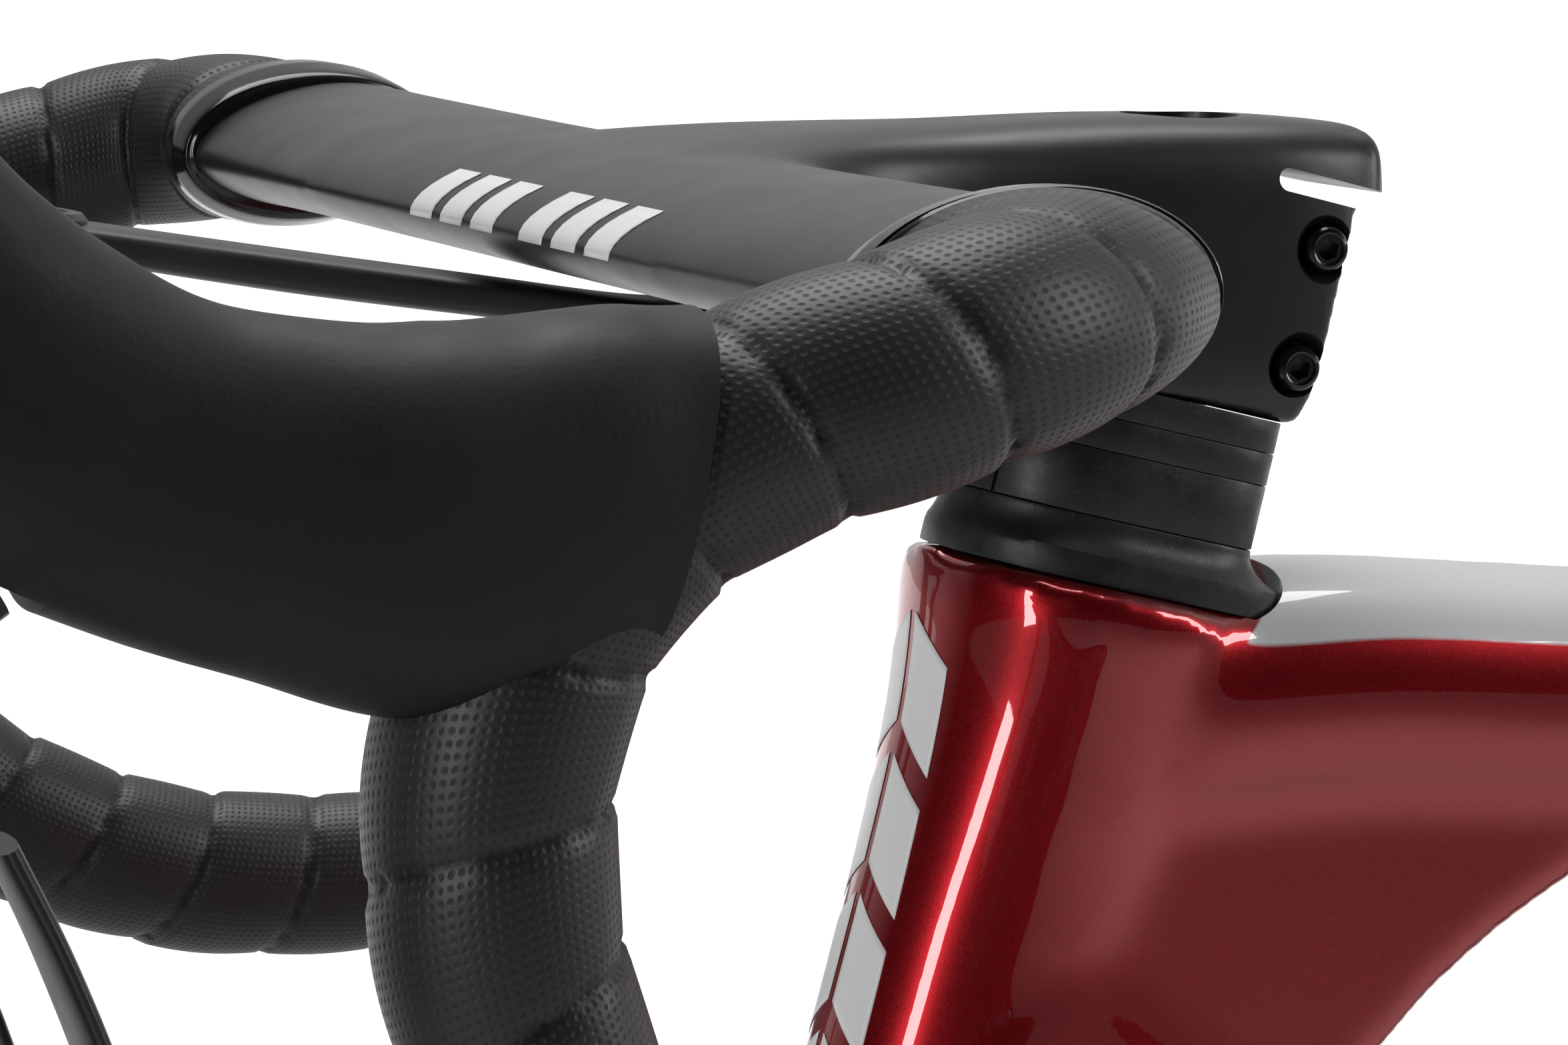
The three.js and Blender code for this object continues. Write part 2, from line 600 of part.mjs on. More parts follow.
function brakeLever(side) {
  const at = (x, z) => head(x, side * BAR_HALF, z);
  const blade = tube([
    [at(216, 48), 6.5, 7, 2.6],
    [at(231, 38), 6.5, 7, 2.6],
    [at(229, 20), 6.5, 5.5, 2.4],
    [at(220, -4), 6, 4.5, 2.4],
    [at(213, -30), 6, 4, 2.4],
    [at(213, -52), 6, 4, 2.4],
    [at(219, -70), 5.5, 3.5, 2.4],
  ]);
  return blade;
}

function shiftPaddle(side) {
  const at = (x, z) => head(x, side * (BAR_HALF - 3), z);
  return tube([
    [at(214, 16), 6, 1.6, 2.4],
    [at(208.5, 2), 8, 1.6, 2.4],
    [at(203.5, -14), 8.5, 1.6, 2.4],
    [at(201.5, -26), 6, 1.6, 2.4],
  ]);
}

function computerMount() {
  const arm = tube([
    [head(56, 0, 44.8), 9, 2.6, 4],
    [head(70, 0, 46.3), 9, 2.6, 4],
    [head(94, 0, 51), 9.5, 2.9, 4],
    [head(124, 0, 57.2), 9.5, 3, 4],
    [head(156, 0, 64.4), 11, 2.7, 4],
  ]);
  const puckAxis = V(-Math.sin(10 * RAD), 0, Math.cos(10 * RAD));
  const puck = head(168, 0, 66.4);
  return union(arm, rod(puck.clone().addScaledVector(puckAxis, -4), puck.clone().addScaledVector(puckAxis, 4), 16, 24));
}

// ---- Wheels --------------------------------------------------------------------------------------
const RIM_OUT = 317;
const RIM_IN = 272;
const SPOKES = 24;
const WHEEL_SIDES = 32;

// A deep rim, open on its outer side where the tyre closes it.
function rim(axle) {
  const outside = [[RIM_OUT, 12.8], [300, 13.6], [RIM_IN, 2.5]];
  const inside = [[RIM_OUT, 10.6], [300, 11.4], [275, 1.5]];
  const mirror = (half) => half.map(([r, y]) => [r, -y]);
  const profile = [...outside, ...mirror(outside).reverse(), ...mirror(inside), ...inside.slice().reverse()];
  return turned(profile, WHEEL_SIDES, axle);
}

function tyre(axle) {
  const middle = WHEEL_R - TYRE_R;
  const bead = RIM_OUT + GAP;
  const start = Math.asin((bead - middle) / TYRE_R);
  const steps = 7;
  const profile = Array.from({ length: steps + 1 }, (_, i) => {
    const t = start + (i / steps) * (Math.PI - 2 * start);
    return [middle + TYRE_R * Math.sin(t), TYRE_R * Math.cos(t)];
  });
  return turned(profile, WHEEL_SIDES, axle);
}

// A hub shell from its profile, with spokes to the rim from a flange at each [y, radius].
function hub(axle, profile, flanges) {
  const spokes = Array.from({ length: SPOKES }, (_, i) => {
    const [y, r] = flanges[i % 2];
    const way = i % 4 < 2 ? 1 : -1;
    const at = (2 * Math.PI * i) / SPOKES;
    const point = (radius, angle, side) =>
      axle.clone().add(V(radius * Math.cos(angle), side, radius * Math.sin(angle)));
    return rod(point(r - 1.5, at + way * 75 * RAD, y + way * 1.6), point(RIM_IN - 2, at, Math.sign(y)), 1, 4);
  });
  return union(turned(profile, 14, axle), ...spokes);
}

const HUB_BORE = AXLE_R + GAP;
const FRONT_HUB = [
  [HUB_BORE, -50], [10, -50], [10, -34], [19, -31], [19, -26], [12, -20], [12, 10],
  [19, 15], [19, 20], [15, 23], [15, 41], [10, 42], [10, 50], [HUB_BORE, 50],
];
const REAR_HUB = [
  [HUB_BORE, -71], [10, -71], [10, -68.6], [16.4, -68.4], [16.4, -24], [23, -22], [23, -17], [14, -11],
  [14, 24], [21, 30], [21, 35], [15, 38], [15, 57], [10, 58], [10, 71], [HUB_BORE, 71],
];

// A brake rotor: a track on six arms, with holes between them.
function rotor(axle, y) {
  const disc = turned([[15.4, y - 0.9], [ROTOR_R, y - 0.9], [ROTOR_R, y + 0.9], [15.4, y + 0.9]], 28, axle);
  const windows = Array.from({ length: 6 }, (_, i) => {
    const angle = (k) => ((i + k) * Math.PI) / 3;
    const corner = (k, r) => [axle.x + r * Math.cos(angle(k)), axle.z + r * Math.sin(angle(k))];
    return plate(
      [corner(0, 26), corner(0.5, 26), corner(0.75, 45), corner(0.95, 64.5), corner(0.62, 65.5), corner(0.3, 64.5), corner(0.12, 45)],
      y - 3,
      y + 3,
    );
  });
  return cut(disc, ...windows);
}

// A caliper over the rotor's edge: a block with a slot, from local corners turned about the axle.
function caliper(block, axle, y) {
  const slot = turned([[0, y - 4.6], [ROTOR_R + 4, y - 4.6], [ROTOR_R + 4, y + 4.6], [0, y + 4.6]], 32, axle);
  return cut(block, slot);
}

function brakePad(middle, y, inner, turnY) {
  return box(middle.clone().setY(y + (inner ? -2.8 : 2.8)), [14, 2.8, 22], turnY);
}

const FRONT_CALIPER = FRONT_AXLE.clone().addScaledVector(UP_STEER, 46).addScaledVector(FWD_STEER, -48);
const REAR_CALIPER = V(REAR_AXLE.x + 66, 0, REAR_AXLE.z + 20);
const FRONT_PAD_TURN = HEAD_ANGLE - Math.PI / 2;

function frontCaliper() {
  const middle = FRONT_CALIPER.clone().setY(FRONT_ROTOR_Y + 2);
  return caliper(box(middle, [36, 26, 62], FRONT_PAD_TURN), FRONT_AXLE, FRONT_ROTOR_Y);
}

function rearCaliper() {
  const middle = REAR_CALIPER.clone().setY(REAR_ROTOR_Y + 1);
  return caliper(box(middle, [60, 26, 34], -12 * RAD), REAR_AXLE, REAR_ROTOR_Y);
}

// ---- Drivetrain ----------------------------------------------------------------------------------
const CHAIN_HALF = 4; // half the height of a link
const CHAIN_WIDE = 2.4; // half the width of the chain
const SPIDER_R = 55;
const COG_HALF = 0.8;

// Where a belt lies round circles [centre, radius, turn], turn +1 anticlockwise seen from -Y.
function beltPoints(circles) {
  const heading = circles.map(([c, r, s], i) => {
    const [d, q, t] = circles[(i + 1) % circles.length];
    const between = d.clone().sub(c);
    return Math.atan2(between.z, between.x) + Math.asin((s * r - t * q) / Math.hypot(between.x, between.z));
  });
  return circles.flatMap(([c, r, s], i) => {
    const from = heading[(i + circles.length - 1) % circles.length];
    let sweep = heading[i] - from;
    while (s * sweep < 0) sweep += s * 2 * Math.PI;
    while (s * sweep > 2 * Math.PI) sweep -= s * 2 * Math.PI;
    const steps = Math.max(4, Math.ceil(Math.abs(sweep) / (12 * RAD)));
    return Array.from({ length: steps + 1 }, (_, k) => {
      const t = from + (sweep * k) / steps;
      return [c.x + s * r * Math.sin(t), c.z - s * r * Math.cos(t), Math.sin(t), -Math.cos(t)];
    });
  });
}

function chain() {
  const loop = beltPoints([
    [BB, pitchRadius(RING_TEETH[0]), 1],
    [REAR_AXLE, pitchRadius(COG_TEETH[COG_IN_USE]), 1],
    [GUIDE_PULLEY, pitchRadius(PULLEY_TEETH), -1],
    [TENSION_PULLEY, pitchRadius(PULLEY_TEETH), 1],
  ]);
  const offset = (by) => loop.map(([x, z, nx, nz]) => [x + by * nx, z + by * nz]);
  const [y0, y1] = [CHAIN_Y - CHAIN_WIDE, CHAIN_Y + CHAIN_WIDE];
  return cut(plate(offset(CHAIN_HALF), y0, y1), plate(offset(-CHAIN_HALF), y0 - 5, y1 + 5));
}

// Teeth end below the links of the chain where it wraps them.
function sprocket(teeth, middle, half, carriesChain) {
  const r = pitchRadius(teeth);
  const tip = carriesChain ? r - CHAIN_HALF - 2 * GAP : r + 2;
  return plate(toothed(teeth, tip, tip - 3.2), -half, half).translate(middle.toArray());
}

function cassette() {
  const cogY = (i) => CHAIN_Y + (COG_IN_USE - i) * COG_STEP;
  const cogs = COG_TEETH.map((teeth, i) =>
    sprocket(teeth, V(REAR_AXLE.x, cogY(i), REAR_AXLE.z), COG_HALF, i === COG_IN_USE),
  );
  const last = cogY(COG_TEETH.length - 1) - COG_HALF;
  const at = (y) => V(REAR_AXLE.x, y, REAR_AXLE.z);
  const carrier = rod(at(cogY(0)), at(last + 0.2), 19.5, 14);
  return cut(union(carrier, ...cogs), rod(at(-20), at(-90), 17.2, 14));
}

function chainring(teeth, y, carriesChain) {
  const middle = V(BB.x, y, BB.z);
  const disc = sprocket(teeth, middle, 1, carriesChain);
  const bolts = Array.from({ length: 4 }, (_, i) => spiderPoint(i, y));
  return cut(
    disc,
    rod(V(BB.x, y - 5, BB.z), V(BB.x, y + 5, BB.z), 48, 20),
    ...bolts.map((p) => rod(p.clone().add(V(0, -5, 0)), p.clone().add(V(0, 5, 0)), 4 + GAP, 10)),
  );
}

function spiderPoint(i, y) {
  const t = ((i + 0.5) * Math.PI) / 2 - 12 * RAD;
  return V(BB.x + SPIDER_R * Math.cos(t), y, BB.z + SPIDER_R * Math.sin(t));
}

function crankArm(side) {
  const at = (x, y) => V(BB.x - side * x, side * y, BB.z);
  const arm = tube([
    [at(-15, 56), 8, 14, 2.6],
    [at(10, 57.5), 8.5, 17, 2.6],
    [at(60, 61.5), 7.5, 14, 2.8],
    [at(CRANK - 20, 66.5), 6.5, 12.5, 2.8],
    [at(CRANK + 8, Q_HALF - 6.5), 6.5, 11, 2.6],
  ]);
  return union(
    arm,
    rod(at(CRANK, Q_HALF - 13), at(CRANK, Q_HALF), 13),
    rod(at(CRANK, Q_HALF - 4), at(CRANK, Q_HALF + 50), 4.5, 10),
  );
}

function driveCrank() {
  const at = (y) => V(BB.x, y, BB.z);
  const arms = Array.from({ length: 4 }, (_, i) => {
    const out = spiderPoint(i, 0).sub(BB).normalize();
    const station = (r, y, wide) => [at(y).addScaledVector(out, r), 2, wide, 5];
    const leg = pipe([station(12, -52, 12), station(29, -50.5, 10), station(43, -45.2, 8), station(60, -44.85, 7)], V(0, 1, 0), 8);
    return [leg, rod(spiderPoint(i, -39.4), spiderPoint(i, -50.4), 4, 10)];
  }).flat();
  return union(crankArm(-1), rod(at(62), at(-60), 11.9, 14), rod(at(-46.4), at(-64), 20, 16), ...arms);
}

function plainCrank() {
  const at = (y) => V(BB.x, y, BB.z);
  return cut(union(crankArm(1), rod(at(46.4), at(64), 18, 16)), rod(at(40), at(80), 11.9 + 2 * GAP));
}

function pedal(side) {
  const middle = V(BB.x - side * CRANK, side * (Q_HALF + 33), BB.z);
  const body = tube([
    [middle.clone().add(V(0, -side * 30, 0)), 30, 8, 3],
    [middle.clone().add(V(0, -side * 8, 0)), 42, 9, 3],
    [middle.clone().add(V(0, side * 14, 0)), 42, 9, 3],
    [middle.clone().add(V(0, side * 28, 0)), 32, 8, 3],
  ], 16, V(1, 0, 0));
  return cut(body, rod(middle.clone().add(V(0, -side * 40, 0)), middle.clone().add(V(0, side * 18, 0)), 4.5 + GAP, 12));
}

// ---- Rear derailleur: a knuckle on the hanger, one link, a knuckle and the pulley cage -------------
const LINK_Y = -90;
const LINK_TOP = V(HANGER.x + 2, LINK_Y, HANGER.z - 12);
const LINK_BOTTOM = V(GUIDE_PULLEY.x, LINK_Y, GUIDE_PULLEY.z + 20);

// A forked end for the link: two walls with a pin between them.
function clevis(pivot, rise, length) {
  const walls = box(pivot.clone().add(V(0, 0, rise)), [28, 12, length]);
  const pin = rod(pivot.clone().add(V(-13, 0, 0)), pivot.clone().add(V(13, 0, 0)), 2, 10);
  return { walls, pin };
}

function upperKnuckle() {
  const body = rod(V(HANGER.x, -98, HANGER.z), V(HANGER.x, -DROPOUT_OUT - GAP, HANGER.z), 12, 20);
  const { walls, pin } = clevis(LINK_TOP, 4, 18);
  const slot = box(LINK_TOP.clone().add(V(0, 0, -3)), [17, 40, 22]);
  return cut(union(body, walls), slot).add(pin);
}

function derailleurLink() {
  const along = LINK_BOTTOM.clone().sub(LINK_TOP);
  const turnY = Math.atan2(along.x, along.z);
  const middle = LINK_TOP.clone().add(LINK_BOTTOM).multiplyScalar(0.5);
  const hinge = (p) => rod(p.clone().add(V(-30, 0, 0)), p.clone().add(V(30, 0, 0)), 2 + GAP, 10);
  return cut(box(middle, [8, 8, along.length() + 8], turnY), hinge(LINK_TOP), hinge(LINK_BOTTOM));
}

function lowerKnuckle() {
  const at = (y) => V(LINK_BOTTOM.x, y, LINK_BOTTOM.z - 22);
  const { walls, pin } = clevis(LINK_BOTTOM, -5, 20);
  const slot = box(LINK_BOTTOM.clone().add(V(0, 0, 3)), [17, 40, 20]);
  return cut(union(rod(at(-96), at(-57), 12, 20), walls), slot).add(pin);
}

function pulleyCage() {
  const outline = new THREE.Shape();
  const lean = Math.atan2(TENSION_PULLEY.z - GUIDE_PULLEY.z, TENSION_PULLEY.x - GUIDE_PULLEY.x);
  outline.absarc(GUIDE_PULLEY.x, GUIDE_PULLEY.z, 13, lean + Math.PI / 2, lean - Math.PI / 2, false);
  outline.absarc(TENSION_PULLEY.x, TENSION_PULLEY.z, 12, lean - Math.PI / 2, lean + Math.PI / 2, false);
  const plates = [-6.6, 5.1].map((y) => plate(outline, CHAIN_Y + y, CHAIN_Y + y + 1.5, [], 10));
  const pins = [GUIDE_PULLEY, TENSION_PULLEY].map((c) => rod(V(c.x, CHAIN_Y - 6, c.z), V(c.x, CHAIN_Y + 6, c.z), 3, 10));
  return union(...plates, ...pins);
}

function pulley(middle) {
  const wheel = sprocket(PULLEY_TEETH, middle, 3, true);
  return cut(wheel, rod(V(middle.x, CHAIN_Y - 9, middle.z), V(middle.x, CHAIN_Y + 9, middle.z), 3 + GAP, 16));
}

// ---- Front derailleur ----------------------------------------------------------------------------
const FRONT_CAGE = V(BB.x - 36, 0, BB.z + 112);

function frontDerailleurBody() {
  return union(
    box(V(FRONT_CAGE.x - 2, -27.2, FRONT_CAGE.z + 16), [30, 16, 22]),
    rod(V(FRONT_CAGE.x - 2, -30, FRONT_CAGE.z + 34), V(FRONT_CAGE.x - 2, -19, FRONT_CAGE.z + 34), 7, 16),
    box(V(FRONT_CAGE.x - 2, -22, FRONT_CAGE.z + 26), [14, 6, 16]),
  );
}

function frontDerailleurCage() {
  const side = [[-42, -2], [42, -2], [44, 10], [20, 20], [-30, 18], [-44, 10]];
  const at = (outline) => outline.map(([x, z]) => [FRONT_CAGE.x + x, FRONT_CAGE.z + z]);
  const outer = plate(at(side), CHAIN_Y - 5.6, CHAIN_Y - 4.4);
  const inner = plate(at(side.map(([x, z]) => [x, z - (z < 0 ? 8 : 0)])), CHAIN_Y + 4.4, CHAIN_Y + 5.6);
  const bridge = box(V(FRONT_CAGE.x - 30, CHAIN_Y, FRONT_CAGE.z + 15), [14, 10, 1.6], 0);
  const top = box(V(FRONT_CAGE.x + 22, CHAIN_Y, FRONT_CAGE.z + 17), [12, 10, 1.6], 0);
  return union(outer, inner, bridge, top);
}

// ---- The bicycle ---------------------------------------------------------------------------------
add("frame", frame(), RED);
add("headset_upper_bearing", headsetBearing(-GAP, UPPER_BEARING_R), STEEL);
add("headset_lower_bearing", headsetBearing(BEARING_DEPTH - HEAD_LENGTH - GAP, LOWER_BEARING_R), STEEL);
pair("bottom_bracket_cup", ALLOY, bottomBracketCup);
add("rear_thru_axle", thruAxle(REAR_AXLE, DROPOUT_OUT, DROPOUT_OUT), ALLOY);
add("rear_brake_caliper", rearCaliper(), ALLOY);
add("seat_post", seatPost(), CARBON);
add("saddle_rails", railPath(0), DARK_STEEL);
add("saddle_cover", saddleLayer(0.36, 1, 0), BLACK_MATT);
add("saddle_base", cut(saddleLayer(-0.25, 0.3, 2), saddleLayer(0.34, 1.2, -1), railPath(0.6)), BLACK_SATIN);

add("fork", fork(), RED);
const coverWaist = [23.6, 26.4, 20.2];
add("headset_cover", collar([GAP, COVER_BASE], [4.5, COVER_BASE], [7, coverWaist], [COVER_HEIGHT - GAP, SPACER_SHAPE]), BLACK_SATIN);
let spacerBottom = COVER_HEIGHT;
for (const [i, name] of ["spacer_lower", "spacer_middle", "spacer_upper"].entries()) {
  add(name, collar([spacerBottom, SPACER_SHAPE], [spacerBottom + SPACERS[i] - GAP, SPACER_SHAPE]), BLACK_SATIN);
  spacerBottom += SPACERS[i];
}
add("cockpit", cockpit(), BLACK_SATIN);
add("stem_bolt_lower", stemBolt(STEM_BOLTS[0]), DARK_STEEL);
add("stem_bolt_upper", stemBolt(STEM_BOLTS[1]), DARK_STEEL);
pair("bar_tape", TAPE_BLACK, tapeWrap);
pair("tape_ring", BLACK_SATIN, tapeRing);
pair("hood", RUBBER, hood);
pair("brake_lever", ALLOY, brakeLever);
pair("shift_paddle", BLACK_SATIN, shiftPaddle);
add("computer_mount", computerMount(), BLACK_SATIN);
add("front_thru_axle", thruAxle(FRONT_AXLE, 61, 61), ALLOY);
add("front_brake_caliper", frontCaliper(), ALLOY);

for (const [name, axle, profile, flanges, rotorY] of [
  ["front", FRONT_AXLE, FRONT_HUB, [[-28.5, 17], [17.5, 17]], FRONT_ROTOR_Y],
  ["rear", REAR_AXLE, REAR_HUB, [[-19.5, 21], [32.5, 19]], REAR_ROTOR_Y],
]) {
  add(`${name}_rim`, rim(axle), CARBON);
  add(`${name}_tyre`, tyre(axle), RUBBER);
  add(`${name}_hub`, hub(axle, profile, flanges), DARK_STEEL);
  add(`${name}_rotor`, rotor(axle, rotorY), STEEL);
}
for (const [end, axle, y, middle, turnY] of [
  ["front", FRONT_AXLE, FRONT_ROTOR_Y, FRONT_CALIPER, FRONT_PAD_TURN],
  ["rear", REAR_AXLE, REAR_ROTOR_Y, REAR_CALIPER, 78 * RAD],
]) {
  add(`${end}_pad_outer`, brakePad(middle, y, false, turnY), DARK_STEEL);
  add(`${end}_pad_inner`, brakePad(middle, y, true, turnY), DARK_STEEL);
}

add("cassette", cassette(), STEEL);
add("chain", chain(), STEEL);
add("crank_arm_right", driveCrank(), CARBON);
add("crank_arm_left", plainCrank(), CARBON);
add("chainring_large", chainring(RING_TEETH[0], CHAIN_Y, true), DARK_STEEL);
add("chainring_small", chainring(RING_TEETH[1], CHAIN_Y + 7.5, false), DARK_STEEL);
pair("pedal", BLACK_SATIN, pedal);
add("rear_derailleur_knuckle", upperKnuckle(), BLACK_SATIN);
add("rear_derailleur_link", derailleurLink(), ALLOY);
add("rear_derailleur_arm", lowerKnuckle(), BLACK_SATIN);
add("rear_derailleur_cage", pulleyCage(), ALLOY);
add("guide_pulley", pulley(GUIDE_PULLEY), BLACK_SATIN);
add("tension_pulley", pulley(TENSION_PULLEY), BLACK_SATIN);
add("front_derailleur_body", frontDerailleurBody(), BLACK_SATIN);
add("front_derailleur_cage", frontDerailleurCage(), ALLOY);

export default bicycle;
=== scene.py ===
"""Looks of a road bicycle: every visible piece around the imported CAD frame."""

import json
import math

import bmesh
import bpy
import numpy as np
from mathutils import Matrix, Vector
from mathutils.bvhtree import BVHTree


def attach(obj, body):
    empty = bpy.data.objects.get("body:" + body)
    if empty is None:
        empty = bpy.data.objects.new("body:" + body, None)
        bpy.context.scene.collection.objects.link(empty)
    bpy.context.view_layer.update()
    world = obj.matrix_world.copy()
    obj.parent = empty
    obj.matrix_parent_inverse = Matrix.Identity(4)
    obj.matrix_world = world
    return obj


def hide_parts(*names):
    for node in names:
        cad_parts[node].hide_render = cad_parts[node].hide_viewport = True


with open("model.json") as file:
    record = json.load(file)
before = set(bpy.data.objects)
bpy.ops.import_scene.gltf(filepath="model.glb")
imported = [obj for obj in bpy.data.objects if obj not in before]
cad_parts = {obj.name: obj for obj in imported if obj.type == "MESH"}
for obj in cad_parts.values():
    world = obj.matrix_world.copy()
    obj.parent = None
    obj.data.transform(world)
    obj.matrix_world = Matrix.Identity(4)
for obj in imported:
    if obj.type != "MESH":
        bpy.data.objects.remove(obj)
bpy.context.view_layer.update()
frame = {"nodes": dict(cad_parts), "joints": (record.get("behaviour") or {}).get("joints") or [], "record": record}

# ---- Places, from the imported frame. Lengths below are in millimetres ---------------------------
MM = 0.001
JOINT = {j["name"]: j for j in frame["joints"]}
JOINT_AT = {name: Vector(j["pos_m"]) / MM for name, j in JOINT.items() if "pos_m" in j}
HEAD_TOP = JOINT_AT["steering"]
UP_STEER = Vector(JOINT["steering"]["axis"]).normalized()
FWD_STEER = Vector((UP_STEER.z, 0, -UP_STEER.x))
UP_SEAT = Vector(JOINT["saddle_height"]["axis"]).normalized()
BB = JOINT_AT["crank_spin"]
FRONT_AXLE = JOINT_AT["front_wheel_spin"]
REAR_AXLE = JOINT_AT["rear_wheel_spin"]
GUIDE = JOINT_AT["guide_pulley_spin"]
TENSION = JOINT_AT["tension_pulley_spin"]
SPACERS = (10, 10, 5, 5)  # headset cover, then the three spacers
STEM_BOTTOM = sum(SPACERS)
STEM_TOP = STEM_BOTTOM + 46
BAR_HALF = 190
BAR_R = 11.9
TAPE = 2.9
TAPE_START = 158
WRAP = 20.5  # along the bar, from one turn of the tape to the next
WHEEL_R = FRONT_AXLE.z
Y = Vector((0, 1, 0))
STEER_TILT = math.radians(-17)
STEERER_CLEAR = 14.9
FORK_INSIDE = 50.3
STAYS_INSIDE = 71.3
AXLE_HOLE = 6.3
SLOT_UP = 66.1  # up the steering axis to the stem's relief slot


def head(x, y, z):
    """A point from the head tube's top, on level axes."""
    return HEAD_TOP + Vector((x, y, z))


def steer(h, f, y=0.0):
    """A point from the head tube's top, up the steering axis and forward of it."""
    return HEAD_TOP + UP_STEER * h + FWD_STEER * f + Y * y


def seat(s, y=0.0):
    return BB + UP_SEAT * s + Y * y


# ---- Mesh building -----------------------------------------------------------------------------
def new_object(name, points, faces, material=None, uv=None):
    """An object from points in millimetres."""
    mesh = bpy.data.meshes.new(name)
    mesh.from_pydata([tuple(p * MM) for p in map(Vector, points)], [], faces)
    if uv:
        layer = mesh.uv_layers.new(name="UVMap")
        layer.data.foreach_set("uv", [c for face in uv for corner in face for c in corner])
    mesh.polygons.foreach_set("use_smooth", [True] * len(mesh.polygons))
    obj = bpy.data.objects.new(name, mesh)
    bpy.context.scene.collection.objects.link(obj)
    if material:
        mesh.materials.append(material)
    return obj


def ring(centre, half_a, half_b, exponent=2.0, count=32):
    """A superellipse of points on two half-axis vectors."""
    def bend(v):
        return math.copysign(abs(v) ** (2 / exponent), v)

    angles = [2 * math.pi * (i + 0.5) / count for i in range(count)]
    return [centre + half_a * bend(math.cos(t)) + half_b * bend(math.sin(t)) for t in angles]


def loft(name, rings):
    """A closed surface through rings of equal count, its ends capped by fans. uv is along and round."""
    n = len(rings[0])
    points = [p for r in rings for p in r]
    faces, uv = [], []
    along = [0.0]
    for a, b in zip(rings, rings[1:]):
        along.append(along[-1] + (sum(b, Vector()) / n - sum(a, Vector()) / n).length)
    for k in range(len(rings) - 1):
        for i in range(n):
            j = (i + 1) % n
            faces.append((k * n + i, k * n + j, (k + 1) * n + j, (k + 1) * n + i))
            here, there, left, right = along[k], along[k + 1], i / n, (i + 1) / n
            uv.append(((here, left), (here, right), (there, right), (there, left)))
    for k, flip in ((0, True), (len(rings) - 1, False)):
        points.append(sum(rings[k], Vector()) / n)
        for i in range(n):
            a, b = k * n + i, k * n + (i + 1) % n
            faces.append((len(points) - 1, b, a) if flip else (len(points) - 1, a, b))
            uv.append(((along[k], 0),) * 3)
    return new_object(name, points, faces, uv=uv)


def catmull(a, b, c, d, t):
    """A point of the Catmull-Rom curve between b and c."""
    return 0.5 * (2 * b + (c - a) * t + (2 * a - 5 * b + 4 * c - d) * t**2 + (3 * b - a - 3 * c + d) * t**3)


def smooth_line(stations, steps):
    """Catmull-Rom through tuples of numbers, steps pieces to each span."""
    s = [np.array(q, float) for q in stations]
    s = [2 * s[0] - s[1]] + s + [2 * s[-1] - s[-2]]
    out = []
    for a, b, c, d in zip(s, s[1:], s[2:], s[3:]):
        for t in np.arange(steps) / steps:
            out.append(catmull(a, b, c, d, t))
    return out + [s[-2]]


def swept_frames(points, side):
    """(along, width, height) at each point of a path, the width carried round without twisting."""
    width = side.copy()
    frames = []
    for i in range(len(points)):
        along = (points[min(i + 1, len(points) - 1)] - points[max(i - 1, 0)]).normalized()
        width = (width - along * width.dot(along)).normalized()
        frames.append((along, width.copy(), width.cross(along)))
    return frames


def lathe(name, profile, axis_point, axis, material=None, count=48, closed=True):
    """A body turned about an axis, from a closed loop of (radius, distance along the axis)."""
    axis = axis.normalized()
    u = axis.orthogonal().normalized()
    w = axis.cross(u)
    points, faces, uv = [], [], []
    n = len(profile)
    for i in range(count):
        t = 2 * math.pi * i / count
        out = u * math.cos(t) + w * math.sin(t)
        points += [axis_point + out * r + axis * d for r, d in profile]
    for i in range(count):
        for k in range(n if closed else n - 1):
            a, b = i * n + k, i * n + (k + 1) % n
            c, d = ((i + 1) % count) * n + (k + 1) % n, ((i + 1) % count) * n + k
            faces.append((a, b, c, d))
            u0, u1, v0, v1 = i / count, (i + 1) / count, k / n, (k + 1) / n
            uv.append(((u0, v0), (u0, v1), (u1, v1), (u1, v0)))
    obj = new_object(name, points, faces, material, uv)
    clean(obj)
    return obj


def clean(obj, distance=0.002):
    """Merges doubles and turns the faces outward."""
    bm = bmesh.new()
    bm.from_mesh(obj.data)
    bmesh.ops.remove_doubles(bm, verts=bm.verts, dist=distance * MM)
    bmesh.ops.recalc_face_normals(bm, faces=bm.faces)
    bm.to_mesh(obj.data)
    bm.free()


def plate(name, loops, y0, y1, material=None, bevel=0.15, resolution=1):
    """A flat plate across Y from outlines of (x, z); inner loops are holes."""
    curve = bpy.data.curves.new(name, "CURVE")
    curve.dimensions = "2D"
    curve.fill_mode = "BOTH"
    curve.extrude = max((y1 - y0) / 2 - bevel, 0.01) * MM
    curve.bevel_depth = bevel * MM
    curve.bevel_resolution = resolution
    for loop in loops:
        spline = curve.splines.new("POLY")
        spline.points.add(len(loop) - 1)
        spline.points.foreach_set("co", [c for x, z in loop for c in (x * MM, z * MM, 0, 1)])
        spline.use_cyclic_u = True
    obj = bpy.data.objects.new(name, curve)
    bpy.context.scene.collection.objects.link(obj)
    made = bake(obj)
    turn = Matrix.Rotation(math.radians(90), 4, "X")
    made.data.transform(Matrix.Translation((0, (y0 + y1) / 2 * MM, 0)) @ turn)
    clean(made, 0.001)
    made.data.materials.clear()
    if material:
        made.data.materials.append(material)
    shade(made, 35)
    return made


